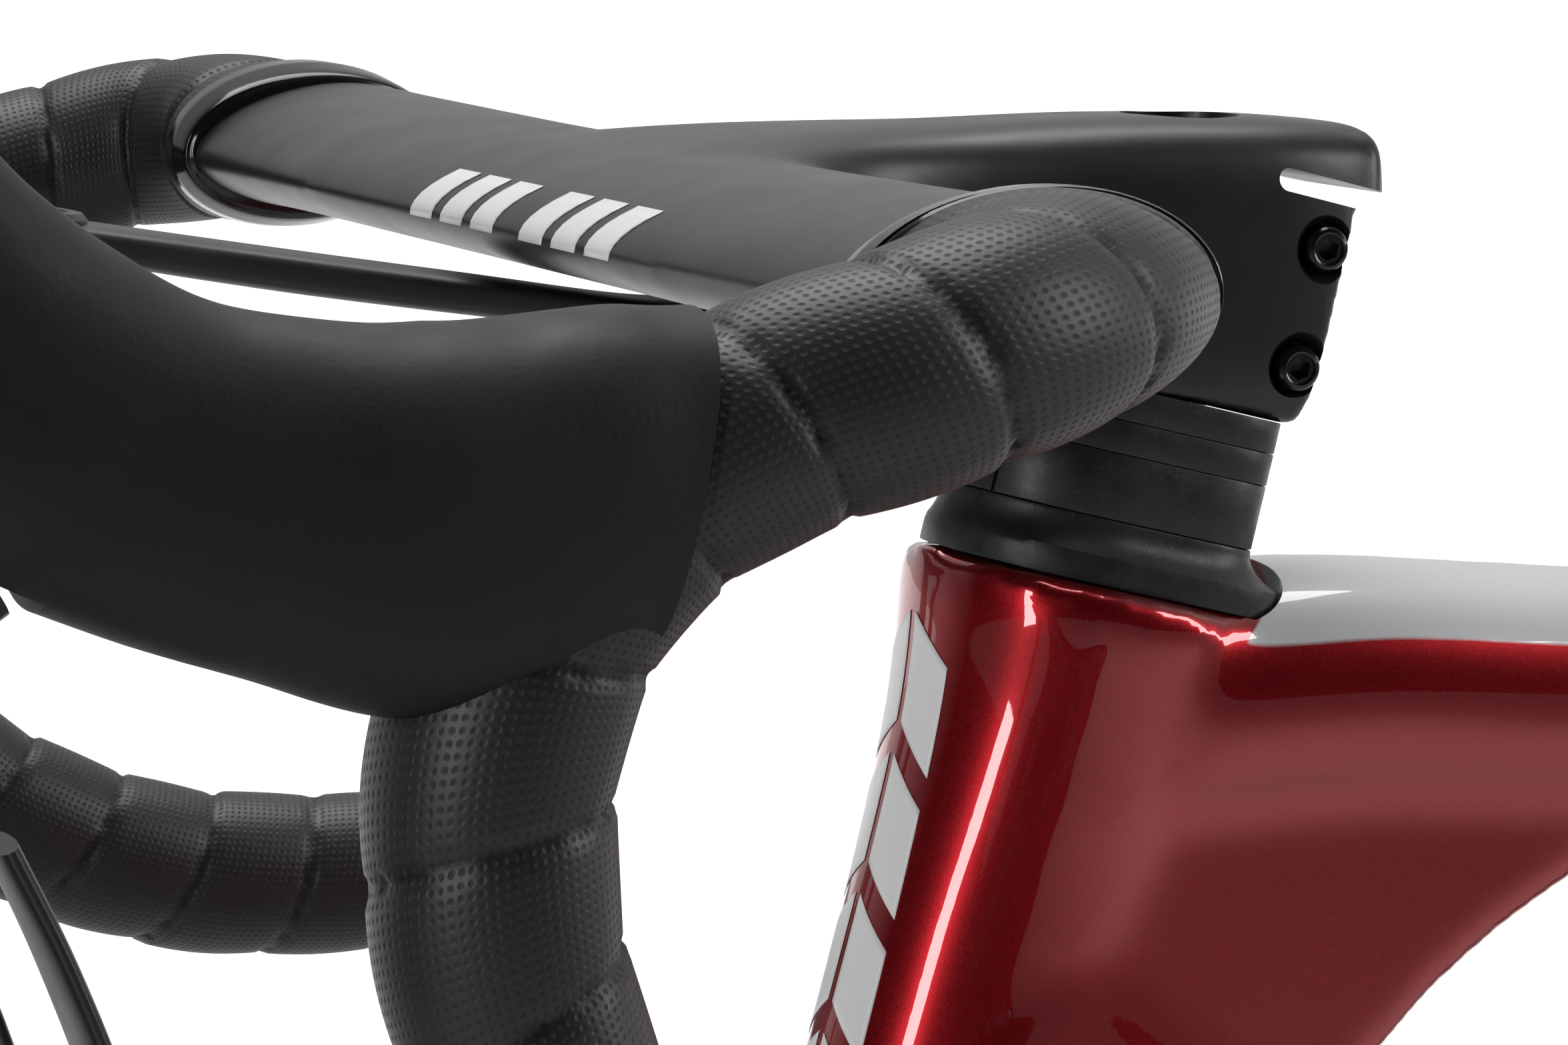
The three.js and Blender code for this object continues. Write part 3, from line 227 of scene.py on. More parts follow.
def bake(obj):
    """The object with its modifiers applied, as a plain mesh under the same name."""
    deps = bpy.context.evaluated_depsgraph_get()
    mesh = bpy.data.meshes.new_from_object(obj.evaluated_get(deps), depsgraph=deps)
    name = obj.name
    old = obj.data
    if obj.type == "MESH":
        obj.modifiers.clear()
        obj.data = mesh
        return obj
    bpy.data.objects.remove(obj)
    bpy.data.curves.remove(old)
    made = bpy.data.objects.new(name, mesh)
    bpy.context.scene.collection.objects.link(made)
    return made


def shade(obj, degrees=30):
    """Smooth faces with sharp edges over an angle."""
    mesh = obj.data
    mesh.polygons.foreach_set("use_smooth", [True] * len(mesh.polygons))
    mesh.set_sharp_from_angle(angle=math.radians(degrees))
    return obj


def join(name, parts, material=None):
    """Several meshes as one object."""
    points, faces = [], []
    for part in parts:
        base = len(points)
        points += [v.co / MM for v in part.data.vertices]
        faces += [tuple(base + i for i in p.vertices) for p in part.data.polygons]
    made = new_object(name, points, faces, material)
    for part in parts:
        bpy.data.objects.remove(part)
    return made


def modify(obj, kind, **settings):
    modifier = obj.modifiers.new(kind, kind)
    for key, value in settings.items():
        setattr(modifier, key, value)
    return modifier


def fuse(obj, voxel, rounds):
    """One skin over overlapping shapes, with soft joins."""
    modify(obj, "REMESH", mode="VOXEL", voxel_size=voxel * MM, use_smooth_shade=True)
    modify(obj, "SMOOTH", iterations=rounds, factor=0.5)
    return bake(obj)


def carve(obj, cutter):
    """Takes the cutter's volume away and removes the cutter."""
    modify(obj, "BOOLEAN", object=cutter, operation="DIFFERENCE", solver="EXACT")
    bake(obj)
    bpy.data.objects.remove(cutter)
    return obj


def block(middle, size, turn=0.0, edge=0.0, name="block"):
    """A box with softened edges, turned about Y."""
    sx, sy, sz = (c / 2 for c in size)
    corners = [(x, y, z) for x in (-sx, sx) for y in (-sy, sy) for z in (-sz, sz)]
    rotation = Matrix.Rotation(turn, 3, "Y")
    faces = [(0, 1, 3, 2), (4, 6, 7, 5), (0, 4, 5, 1), (2, 3, 7, 6), (0, 2, 6, 4), (1, 5, 7, 3)]
    obj = new_object(name, [middle + rotation @ Vector(c) for c in corners], faces)
    clean(obj)
    if edge:
        modify(obj, "BEVEL", width=edge * MM, segments=3)
        bake(obj)
    shade(obj, 40)
    return obj


def rod(start, end, radius, count=24, edge=0.0, end_radius=None, name="rod"):
    """A cylinder or cone between two points, its ends rounded by edge."""
    length = (end - start).length
    r2 = radius if end_radius is None else end_radius
    profile = [(0.0, 0.0), (radius - edge, 0.0)]
    if edge:
        profile += [
            (radius - 0.3 * edge, 0.3 * edge), (radius, edge), (r2, length - edge),
            (r2 - 0.3 * edge, length - 0.3 * edge),
        ]
    else:
        profile += [(radius, 0.0), (r2, length)]
    profile += [(r2 - edge, length), (0.0, length)]
    obj = lathe(name, profile, start, end - start, count=count, closed=False)
    shade(obj, 40)
    return obj


def place(obj, body, *nodes, material=None):
    """Puts a finished piece on its body, in place of CAD nodes."""
    if material:
        obj.data.materials.clear()
        obj.data.materials.append(material)
    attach(obj, body)
    if nodes:
        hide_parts(*nodes)
    return obj


# ---- Materials ---------------------------------------------------------------------------------
class Nodes:
    """A short way to write a node tree round one Principled shader."""

    def __init__(self, name, color, roughness, metallic=0.0, **sockets):
        self.material = bpy.data.materials.new(name)
        self.material.use_nodes = True
        self.tree = self.material.node_tree
        self.shader = self.tree.nodes["Principled BSDF"]
        self.set(
            self.shader,
            {"Base Color": (*color, 1), "Roughness": roughness, "Metallic": metallic, **sockets},
        )

    def set(self, node, values):
        for key, value in values.items():
            node.inputs[key].default_value = value

    def add(self, kind, inputs=None, **settings):
        node = self.tree.nodes.new(kind)
        for key, value in settings.items():
            setattr(node, key, value)
        for key, value in (inputs or {}).items():
            if isinstance(value, bpy.types.NodeSocket):
                self.tree.links.new(value, node.inputs[key])
            else:
                node.inputs[key].default_value = value
        return node

    def math(self, operation, *values):
        return self.add("ShaderNodeMath", dict(enumerate(values)), operation=operation).outputs[0]

    def coords(self, which="Object"):
        return self.add("ShaderNodeTexCoord").outputs[which]

    def noise(self, scale, detail=3.0, vector=None, roughness=0.5):
        vector = vector or self.coords()
        inputs = {"Vector": vector, "Scale": scale, "Detail": detail, "Roughness": roughness}
        return self.add("ShaderNodeTexNoise", inputs).outputs["Fac"]

    def ramp(self, fac, low, high, out_low, out_high):
        values = {"Value": fac, "From Min": low, "From Max": high, "To Min": out_low, "To Max": out_high}
        return self.add("ShaderNodeMapRange", values).outputs["Result"]

    def mix(self, fac, a, b):
        node = self.add("ShaderNodeMix", data_type="RGBA")
        for socket, value in (("Factor", fac), ("A", a), ("B", b)):
            target = [
                i for i in node.inputs if i.name == socket and (socket == "Factor" or i.type == "RGBA")
            ][0]
            if isinstance(value, bpy.types.NodeSocket):
                self.tree.links.new(value, target)
            else:
                target.default_value = value if isinstance(value, float) else (*value, 1)
        return [o for o in node.outputs if o.type == "RGBA"][0]

    def link(self, source, socket):
        self.tree.links.new(source, self.shader.inputs[socket])

    def bump(self, height, distance, strength=1.0):
        values = {"Height": height, "Distance": distance * MM, "Strength": strength}
        self.link(self.add("ShaderNodeBump", values).outputs[0], "Normal")


def grainy(name, color, roughness, grain=900.0, depth=0.03, spread=0.25, metallic=0.0, **sockets):
    """A moulded or brushed surface: fine grain in its bump, uneven gloss, faint colour change."""
    n = Nodes(name, color, roughness, metallic, **sockets)
    fine = n.noise(grain, 4.0)
    broad = n.noise(grain / 18, 3.0)
    n.link(
        n.mix(
            broad, tuple(c * (1 - spread) for c in color), tuple(min(c * (1 + spread), 1) for c in color),
        ),
        "Base Color",
    )
    n.link(n.ramp(broad, 0.3, 0.7, roughness * 0.88, min(roughness * 1.12, 1)), "Roughness")
    n.bump(fine, depth)
    return n.material


def speckled_plastic():
    """Moulded spacers: dark plastic with a fine pale fleck."""
    n = Nodes("spacer_plastic", (0.014, 0.014, 0.015), 0.5)
    fleck = n.ramp(n.noise(2600, 2.0), 0.62, 0.72, 0.0, 0.35)
    cloud = n.ramp(n.noise(180, 4.0), 0.45, 0.7, 0.0, 1.0)
    n.link(n.mix(n.math("MULTIPLY", fleck, cloud), (0.012, 0.012, 0.013), (0.2, 0.2, 0.21)), "Base Color")
    n.link(n.ramp(n.noise(260, 3.0), 0.3, 0.7, 0.34, 0.5), "Roughness")
    n.bump(n.noise(1500, 3.0), 0.03)
    return n.material


def satin_black():
    """The bar and stem: painted carbon, satin, with a little dust."""
    n = Nodes("cockpit_satin", (0.007, 0.007, 0.0075), 0.36, **{"Specular IOR Level": 0.5})
    dust = n.add("ShaderNodeTexVoronoi", {"Vector": n.coords(), "Scale": 240.0}).outputs["Distance"]
    gate = n.math("GREATER_THAN", n.noise(700, 0.0), 0.62)
    speck = n.math("MULTIPLY", n.math("LESS_THAN", dust, 0.035), gate)
    n.link(n.mix(speck, (0.007, 0.007, 0.0075), (0.16, 0.16, 0.16)), "Base Color")
    n.link(n.ramp(n.noise(60, 3.0), 0.3, 0.7, 0.33, 0.4), "Roughness")
    n.bump(n.noise(1400, 3.0), 0.008)
    return n.material


def red_paint():
    """Metallic red under clear coat, with a pale panel along the top of the top tube."""
    red, deep = (0.36, 0.002, 0.007), (0.25, 0.001, 0.005)
    n = Nodes("frame_red", red, 0.3, 0.75, **{"Coat Weight": 1.0, "Coat Roughness": 0.03, "Coat IOR": 1.6})
    place_at = n.add("ShaderNodeSeparateXYZ", {"Vector": n.coords()})
    x = n.math("SUBTRACT", place_at.outputs["X"], HEAD_TOP.x * MM)
    y = n.math("ABSOLUTE", place_at.outputs["Y"])
    z = n.math("SUBTRACT", place_at.outputs["Z"], HEAD_TOP.z * MM)
    half = n.ramp(x, -0.45, -0.03, 0.0135, 0.0243)
    side = n.ramp(n.math("SUBTRACT", half, y), -0.0002, 0.0002, 0.0, 1.0)
    line = n.math("MULTIPLY_ADD", x, 0.115, -0.0165)
    above = n.ramp(n.math("SUBTRACT", z, line), -0.0002, 0.0002, 0.0, 1.0)
    radius = n.math(
        "SQRT", n.math("ADD", n.math("POWER", n.math("ADD", x, 0.001), 2.0), n.math("POWER", y, 2.0)),
    )
    clear = n.ramp(radius, 0.0296, 0.03, 0.0, 1.0)
    behind = n.math("LESS_THAN", x, -0.008)
    ahead = n.math("GREATER_THAN", x, -0.44)
    mask = n.math(
        "MULTIPLY", n.math("MULTIPLY", side, above),
        n.math("MULTIPLY", clear, n.math("MULTIPLY", behind, ahead)),
    )
    flake = n.noise(5200, 1.0)
    base = n.mix(n.ramp(flake, 0.35, 0.65, 0.0, 1.0), deep, red)
    n.link(n.mix(mask, base, (0.56, 0.57, 0.59)), "Base Color")
    n.link(n.ramp(mask, 0.0, 1.0, 0.78, 0.0), "Metallic")
    n.link(n.ramp(flake, 0.3, 0.7, 0.26, 0.36), "Roughness")
    n.bump(flake, 0.004)
    return n.material


def tape_material():
    """Bar tape: matt with a grid of small dimples along the wrap, the dimples and the seams between turns darkened
    as painted shade.
    """
    n = Nodes("bar_tape", (0.012, 0.012, 0.013), 0.5)
    uv = n.add("ShaderNodeSeparateXYZ", {"Vector": n.coords("UV")})
    cells = []
    for axis, pitch in (("X", 1.3), ("Y", 1 / 72)):
        wave = n.math("DIVIDE", uv.outputs[axis], pitch)
        cells.append(n.math("SUBTRACT", n.math("FRACT", wave), 0.5))
    distance = n.math("SQRT", n.math("ADD", n.math("POWER", cells[0], 2.0), n.math("POWER", cells[1], 2.0)))
    dimple = n.ramp(distance, 0.12, 0.36, 0.0, 1.0)
    # Painted shade: the colour is darkened along the seam where each turn of tape overlaps the next.
    seam = n.math("FRACT", n.math("ADD", n.math("DIVIDE", uv.outputs["X"], WRAP), 0.35))
    edge = n.math("MINIMUM", seam, n.math("SUBTRACT", 1.0, seam))
    painted_seam_shade = n.ramp(edge, 0.015, 0.075, 0.0, 1.0)
    # Painted shade: the dimples take a darker colour than the face round them.
    face = n.mix(dimple, (0.005, 0.005, 0.0055), (0.009, 0.009, 0.0095))
    n.link(n.mix(painted_seam_shade, (0.001, 0.001, 0.001), face), "Base Color")
    n.link(n.ramp(dimple, 0.0, 1.0, 0.62, 0.44), "Roughness")
    height = n.math("ADD", dimple, n.math("MULTIPLY", n.noise(1800, 3.0), 0.15))
    n.bump(height, 0.06)
    return n.material


def carbon_weave():
    n = Nodes("carbon", (0.02, 0.02, 0.022), 0.3, **{"Coat Weight": 0.6, "Coat Roughness": 0.12})
    wave = n.add(
        "ShaderNodeTexWave", {"Vector": n.coords(), "Scale": 160.0, "Distortion": 1.5},
        bands_direction="DIAGONAL",
    )
    n.link(n.mix(wave.outputs["Fac"], (0.016, 0.016, 0.018), (0.034, 0.034, 0.037)), "Base Color")
    n.link(n.ramp(n.noise(80), 0.3, 0.7, 0.28, 0.36), "Roughness")
    n.bump(wave.outputs["Fac"], 0.006)
    return n.material


def brushed(name, color, roughness, metallic=1.0):
    """Machined metal: grain drawn out across the axle."""
    n = Nodes(name, color, roughness, metallic)
    stretch = n.add("ShaderNodeMapping", {"Vector": n.coords(), "Scale": (1, 14, 1)}).outputs[0]
    lines = n.noise(500, 4.0, stretch)
    n.link(
        n.mix(lines, tuple(c * 0.8 for c in color), tuple(min(c * 1.15, 1) for c in color)), "Base Color",
    )
    n.link(n.ramp(lines, 0.3, 0.7, roughness * 0.8, roughness * 1.25), "Roughness")
    n.bump(lines, 0.01)
    return n.material


MAT = {
    "red": red_paint(),
    "satin": satin_black(),
    "spacer": speckled_plastic(),
    "tape": tape_material(),
    "rubber": grainy(
        "hood_rubber", (0.004, 0.004, 0.0042), 0.6, 1300, 0.05, **{"Specular IOR Level": 0.35},
    ),
    "gloss": grainy("gloss_black", (0.005, 0.005, 0.0055), 0.14, 400, 0.002, 0.1),
    "plastic": grainy("matt_plastic", (0.01, 0.01, 0.011), 0.45, 1500, 0.03),
    "alloy": grainy("black_alloy", (0.02, 0.02, 0.021), 0.32, 1600, 0.01, 0.15, 0.5),
    "carbon": carbon_weave(),
    "steel": brushed("steel", (0.5, 0.5, 0.52), 0.28),
    "dark_steel": brushed("dark_steel", (0.13, 0.13, 0.135), 0.32),
    "tyre": grainy("tyre_rubber", (0.022, 0.022, 0.023), 0.7, 700, 0.08),
    "saddle": grainy("saddle_cover", (0.02, 0.02, 0.021), 0.6, 1100, 0.08),
    "white": grainy("white_print", (0.82, 0.82, 0.83), 0.35, 900, 0.002, 0.02),
    "pad": grainy("pad_compound", (0.1, 0.09, 0.08), 0.85, 900, 0.1),
}


# ---- Shapes shared by several pieces -----------------------------------------------------------
def tube(stations, count=40, steps=6, across=Y, carried=False, name="tube", exponent=2.4):
    """A smooth tube through stations (point, half-width, half-height, exponent)."""
    rows = smooth_line([(*s[0], s[1], s[2], s[3] if len(s) > 3 else exponent) for s in stations], steps)
    points = [Vector(r[:3]) for r in rows]
    last = len(points) - 1
    if carried:
        frames = swept_frames(points, across)
    else:
        alongs = [(points[min(i + 1, last)] - points[max(i - 1, 0)]).normalized() for i in range(last + 1)]
        frames = [(a, across, a.cross(across).normalized()) for a in alongs]
    rings = [ring(p, w * r[3], h * r[4], r[5], count) for p, r, (_, w, h) in zip(points, rows, frames)]
    made = loft(name, rings)
    clean(made)
    return made


def stack(sections, exponent, count=64, name="stack"):
    """A body of level sections up the steering axis: (height, half-depth, half-width, middle)."""
    rings = []
    for h, depth, width, middle in sections:
        rings.append(ring(steer(h, middle), FWD_STEER * depth, Y * width, exponent, count))
    made = loft(name, rings)
    clean(made)
    return made


def soften(obj, spots, rounds):
    """Smooths a mesh hard near spots (point, radius) and leaves the rest alone."""
    group = obj.vertex_groups.new(name="soft")
    co = np.array([v.co for v in obj.data.vertices]) / MM
    weight = np.zeros(len(co))
    for point, radius in spots:
        near = 1 - np.linalg.norm(co - np.array(point), axis=1) / radius
        weight = np.maximum(weight, np.clip(near * 2.5, 0, 1))
    for i in np.nonzero(weight > 0.01)[0]:
        group.add([int(i)], float(weight[i]), "REPLACE")
    modify(obj, "SMOOTH", iterations=rounds, factor=0.5, vertex_group="soft")
    return bake(obj)


def carve_all(obj, cutters):
    for cutter in cutters:
        carve(obj, cutter)
    return obj


COVER_BASE = (24.1, 29, 22.5)
SPACER_SHAPE = (23, 23.7, 19)


def collar_ring(h, shape, grow=0.0, count=128):
    """A level section round the steerer (front, rear, half-width): elliptical in front, squarer behind."""
    front, rear, width = shape
    points = []
    for i in range(count):
        t = 2 * math.pi * (i + 0.5) / count
        c, s = math.cos(t), math.sin(t)
        power = 1.0 if c > 0 else 0.45
        along = math.copysign(abs(c) ** power, c) * ((front if c > 0 else rear) + grow)
        points.append(steer(h, along, math.copysign(abs(s) ** power, s) * (width + grow)))
    return points


def steer_bore(h0, h1, radius):
    """A cutter down the steering axis."""
    profile = [(0, 0), (radius, 0), (radius, 0.01), (radius, h1 - h0), (0, h1 - h0)]
    return lathe("bore", profile, steer(h0, 0), UP_STEER, count=64, closed=False)


def decal(name, target, corners_of, rows, columns, lift, material, body):
    """A thin printed patch on a surface. corners_of(u, v) gives (outside point, direction inward)."""
    tree = BVHTree.FromObject(target, bpy.context.evaluated_depsgraph_get())
    points = []
    for r in range(rows + 1):
        for c in range(columns + 1):
            start, way = corners_of(c / columns, r / rows)
            hit, normal, _, _ = tree.ray_cast(start * MM, way)
            if hit is None:
                return None
            points.append(hit / MM + (normal if normal.dot(way) < 0 else -normal) * lift)
    n = columns + 1
    faces = [
        (r * n + c, r * n + c + 1, (r + 1) * n + c + 1, (r + 1) * n + c) for r in range(rows)
        for c in range(columns)
    ]
    made = new_object(name, points, faces, material)
    clean(made, 0.0005)
    modify(made, "SOLIDIFY", thickness=lift * 0.8 * MM, offset=0)
    bake(made)
    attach(made, body)
    return made


# ---- Frame -------------------------------------------------------------------------------------
SEAT_TOP = 512
DOWN_START = steer(-72, 2)
DOWN_AXIS = (BB - DOWN_START).normalized()
INTO_TRIANGLE = Vector((DOWN_AXIS.z, 0, -DOWN_AXIS.x))
BOSS_DOWN = DOWN_START.lerp(BB, 0.6) + INTO_TRIANGLE * 30.5
FWD_SEAT = Vector((UP_SEAT.z, 0, -UP_SEAT.x))
BOSS_SEAT = seat(210) + FWD_SEAT * 21.5
HANGER = REAR_AXLE + Vector((-6, 0, -28))


def bezier(a, b, c, d, steps):
    a, b, c, d = (np.array(p, float) for p in (a, b, c, d))
    return [
        tuple((1 - t) ** 3 * a + 3 * t * (1 - t) ** 2 * b + 3 * t * t * (1 - t) * c + t**3 * d)
        for t in np.linspace(0, 1, steps)
    ]


def build_frame():
    head_tube = [
        (0, 28, 28.8, -2.4), (-6, 27.5, 28.2, -2.4), (-26, 25.2, 25, -2.6), (-60, 25.1, 22, -2.4),
        (-110, 26.4, 22.5, -1.6), (-136, 29.6, 29, -0.2), (-145, 30, 29.8, 0),
    ]
    rows = smooth_line(head_tube, 8)
    parts = [stack([tuple(r) for r in rows], 2.1, 72)]
    parts.append(tube([
        (head(-8, 0, -20), 27, 20, 2.4), (head(-40, 0, -21), 27, 19.8, 2.3),
        (head(-75, 0, -26), 26, 20, 2.3),
        (head(-110, 0, -30), 24.5, 19.5, 2.4), (head(-300, 0, -47), 21, 15.5, 2.6),
        (head(-440, 0, -62), 18, 14, 2.6),
        (seat(495), 14, 13, 2.5),
    ], 56))
    parts.append(tube([
        (DOWN_START, 23, 34, 2.5), (DOWN_START.lerp(BB, 0.12), 24, 33, 2.6),
        (DOWN_START.lerp(BB, 0.5), 25, 31, 2.8),
        (DOWN_START.lerp(BB, 0.86), 29, 31, 2.8), (BB + Vector((12, 0, 10)), 33, 27, 2.6),
    ], 56))
    parts.append(tube([
        (seat(-4), 30, 27, 2.6), (seat(60), 22, 24, 2.6), (seat(150), 16.5, 22.5, 2.6),
        (seat(420), 15.5, 22, 2.6),
        (seat(SEAT_TOP), 15.2, 22, 2.6),
    ], 48))
    outline = [(6, -30), (-118, -38)]
    outline += bezier((-118, -38), (-92, -46), (-62, -56), (-40, -78), 14)[1:]
    outline += bezier((-40, -78), (-30, -88), (-30, -98), (-42, -112), 12)[1:]
    outline += [(-28, -118), (18, -60)]
    parts.append(
        plate("web", [[(HEAD_TOP.x + x, HEAD_TOP.z + z) for x, z in outline]], -20.5, 20.5, bevel=0.01)
    )
    parts.append(rod(BB - Y * 43, BB + Y * 43, 24, 64))
    for side in (1, -1):
        chain_stay = [
            (-105, 26, 268, 9, 17), (-200, 29, 284, 8, 14), (-300, 44, 303, 7, 11.5),
            (-400, 62, 322, 6.5, 10.5),
            (-452, 71.5, 331, 5, 10), (REAR_AXLE.x, 75.2, REAR_AXLE.z, 3.7, 11),
        ]
        seat_stay = [
            (-222, 9, 700, 8, 13), (-272, 22, 632, 6.5, 10), (-350, 43, 532, 5.6, 8),
            (-440, 64, 420, 5.6, 8),
            (-488, 75.2, 352, 3.7, 9),
        ]
        for path in (chain_stay, seat_stay):
            parts.append(tube([(Vector((x, side * y, z)), w, h, 2.3) for x, y, z, w, h in path], 32))
        parts.append(rod(REAR_AXLE + Y * side * STAYS_INSIDE, REAR_AXLE + Y * side * 79, 15, 48))
    turn = -math.atan2(DOWN_AXIS.z, DOWN_AXIS.x)
    parts.append(block(BOSS_DOWN, (90, 14, 8), turn))
    parts.append(block(BOSS_SEAT, (8, 14, 90), math.atan2(FWD_SEAT.x, FWD_SEAT.z) - math.pi / 2))
    frame_obj = join("bike_frame", parts)
    fuse(frame_obj, 1.7, 6)
    soften(
        frame_obj, [(head(-22, 0, -45), 105), (BB, 75), (seat(492), 70), (BB + Vector((-40, 0, 6)), 60)],
        26,
    )
    wide = 346
    cutters = [
        lathe("c", [(0, -19), (wide, -19), (wide, 19), (0, 19)], REAR_AXLE, Y, count=180, closed=False),
        rod(REAR_AXLE - Y * STAYS_INSIDE, REAR_AXLE + Y * STAYS_INSIDE, 24, 64),
        rod(REAR_AXLE - Y * 100, REAR_AXLE + Y * 100, AXLE_HOLE, 40),
        rod(BB - Y * 60, BB + Y * 60, 21, 64),
        steer_bore(-160, 5, 18.5),
        steer_bore(-8.3, 5, 21.5),
        steer_bore(-150, -136.7, 26.6),
        block(steer(25, 26), (80, 90, 50), STEER_TILT),
        loft("column", [collar_ring(0.0, COVER_BASE, 0.5), collar_ring(30, COVER_BASE, 0.5)]),
        block(steer(-145 - 25, 0), (90, 90, 50), STEER_TILT),
        tube([(seat(250), 10.8, 16.8, 2.4), (seat(SEAT_TOP + 20), 10.8, 16.8, 2.4)], 64, 1),
        block(seat(SEAT_TOP + 25), (120, 60, 50), math.atan2(UP_SEAT.x, UP_SEAT.z)),
    ]
    carve_all(frame_obj, cutters)
    shade(frame_obj, 32)
    return place(frame_obj, "frame", "frame", material=MAT["red"])


def build_hanger():
    outline = smooth_closed(
        [
            (-9, 8), (0, 11), (9, 8), (9, -8), (7, -20), (3, -36), (-6, -40), (-14, -38), (-17, -28),
            (-16, -14),
        ],
        5,
    )
    hanger = plate(
        "hanger_plate",
        [[(REAR_AXLE.x + x, REAR_AXLE.z + z) for x, z in outline], circle(REAR_AXLE, 6.4, 32)], -79, -72.2,
        bevel=0.8,
    )
    return place(hanger, "frame", material=MAT["alloy"])


def smooth_closed(points, steps):
    """A closed Catmull-Rom outline through (x, z) points."""
    n = len(points)
    out = []
    for i in range(n):
        a, b, c, d = (np.array(points[(i + k - 1) % n], float) for k in range(4))
        for t in np.arange(steps) / steps:
            out.append(tuple(catmull(a, b, c, d, t)))
    return out


def around(middle, radius, angle):
    """The (x, z) of a point round a centre."""
    return (middle.x + radius * math.cos(angle), middle.z + radius * math.sin(angle))


def circle(middle, radius, count=32):
    return [around(middle, radius, 2 * math.pi * i / count) for i in range(count)]


def bearings():
    for name, top, r in (("headset_upper_bearing", -0.3, 20.9), ("headset_lower_bearing", -137.3, 26)):
        inner = STEERER_CLEAR
        gap = inner + 0.55 * (r - inner)
        profile = [
            (inner, 0.4), (15.3, 0), (gap - 0.5, 0), (gap - 0.3, 0.5), (gap + 0.3, 0.5), (gap + 0.5, 0),
            (r - 0.4, 0), (r, 0.4), (r, -7.2), (r - 0.4, -7.6), (15.3, -7.6), (inner, -7.2),
        ]
        ring_obj = lathe("look_" + name, profile, steer(top - 0.4, 0), UP_STEER, count=64)
        shade(ring_obj, 35)
        place(ring_obj, "frame", name, material=MAT["steel"])
    for side, name in ((1, "left"), (-1, "right")):
        notched = [
            (12.3, 30), (20.5, 30), (20.5, 43.3), (21.9, 43.3), (22.5, 43.9), (22.5, 45.4), (21.9, 46),
            (13, 46), (12.3, 45.3),
        ]
        cup = lathe("look_bb_cup_" + name, [(r, y * side) for r, y in notched], BB, Y, count=96)
        shade(cup, 30)
        place(cup, "frame", "bottom_bracket_cup_" + name, material=MAT["alloy"])


def thru_axle(node, axle, right, left, body):
    profile = [
        (0, -right), (5.5, -right), (6, -right + 0.5), (6, left), (9.1, left + 0.3), (9.5, left + 0.8),
        (9.5, left + 3.2), (8.8, left + 4), (4.2, left + 4), (3.4, left + 1.2), (0, left + 1.2),
    ]
    axle_obj = lathe("look_" + node, profile, axle, Y, count=48, closed=False)
    shade(axle_obj, 35)
    place(axle_obj, body, node, material=MAT["alloy"])


# ---- Fork --------------------------------------------------------------------------------------
def build_fork():
    crown = smooth_line([(-145.4, 30, 29.8, 0), (-157, 29, 31, 0), (-171, 26, 35, 0), (-189, 23, 38, 1)], 6)
    parts = [stack([tuple(r) for r in crown], 2.3, 72)]
    for side in (1, -1):
        parts.append(tube([
            (steer(-167, 0, side * 27), 9, 25, 2.4), (steer(-205, 2, side * 34), 8.5, 22, 2.4),
            (steer(-295, 8, side * 43), 7.5, 16, 2.4), (steer(-405, 22, side * 51.5), 6.5, 11.5, 2.4),
            (steer(-475, 36, side * 55.5), 5.2, 10, 2.4), (FRONT_AXLE + Y * side * 55.5, 5.2, 10, 2.4),
        ], 40))
        parts.append(rod(FRONT_AXLE + Y * side * FORK_INSIDE, FRONT_AXLE + Y * side * 61, 13, 48))
    legs = join("fork_legs", parts)
    fuse(legs, 1.6, 10)
    cutters = [
        lathe("c", [(0, -20), (345, -20), (345, 20), (0, 20)], FRONT_AXLE, Y, count=180, closed=False),
        rod(FRONT_AXLE - Y * FORK_INSIDE, FRONT_AXLE + Y * FORK_INSIDE, 22, 64),
        rod(FRONT_AXLE - Y * 80, FRONT_AXLE + Y * 80, AXLE_HOLE, 40),
        block(steer(-145.3 + 25, 0), (90, 90, 50), STEER_TILT),
    ]
    carve_all(legs, cutters)
    shade(legs, 32)
    place(legs, "steering", "fork", material=MAT["red"])
    profile = [
        (11, -150), (14.3, -150), (14.3, STEM_TOP - 12.5), (13.8, STEM_TOP - 12), (11.5, STEM_TOP - 12),
        (11, STEM_TOP - 12.5),
    ]
    steerer = lathe("steerer", profile, steer(0, 0), UP_STEER, count=64)
    shade(steerer, 35)
    place(steerer, "steering", material=MAT["carbon"])


# ---- Headset cover and spacers -----------------------------------------------------------------
def collar(name, sections, node, body="steering", seam_at=None):
    """A ring round the steerer with softened edges: sections of (height, shape)."""
    edge = 0.22
    first, last = sections[0], sections[-1]
    rows = [
        (first[0], first[1], -edge), (first[0] + 0.3 * edge, first[1], -0.3 * edge),
        (first[0] + edge, first[1], 0),
    ]
    rows += [(h, shape, 0) for h, shape in sections[1:-1]]
    rows += [
        (last[0] - edge, last[1], 0), (last[0] - 0.3 * edge, last[1], -0.3 * edge),
        (last[0], last[1], -edge),
    ]
    made = loft(name, [collar_ring(h, shape, grow) for h, shape, grow in rows])
    clean(made)
    h0, h1 = first[0], last[0]
    carve(made, steer_bore(h0 - 3, h1 + 3, STEERER_CLEAR))
    if seam_at is not None:
        carve(made, block(steer((h0 + h1) / 2, *seam_at), (0.35, 3.0, h1 - h0 + 2), STEER_TILT))
    shade(made, 30)
    return place(made, body, node, material=MAT["spacer"])


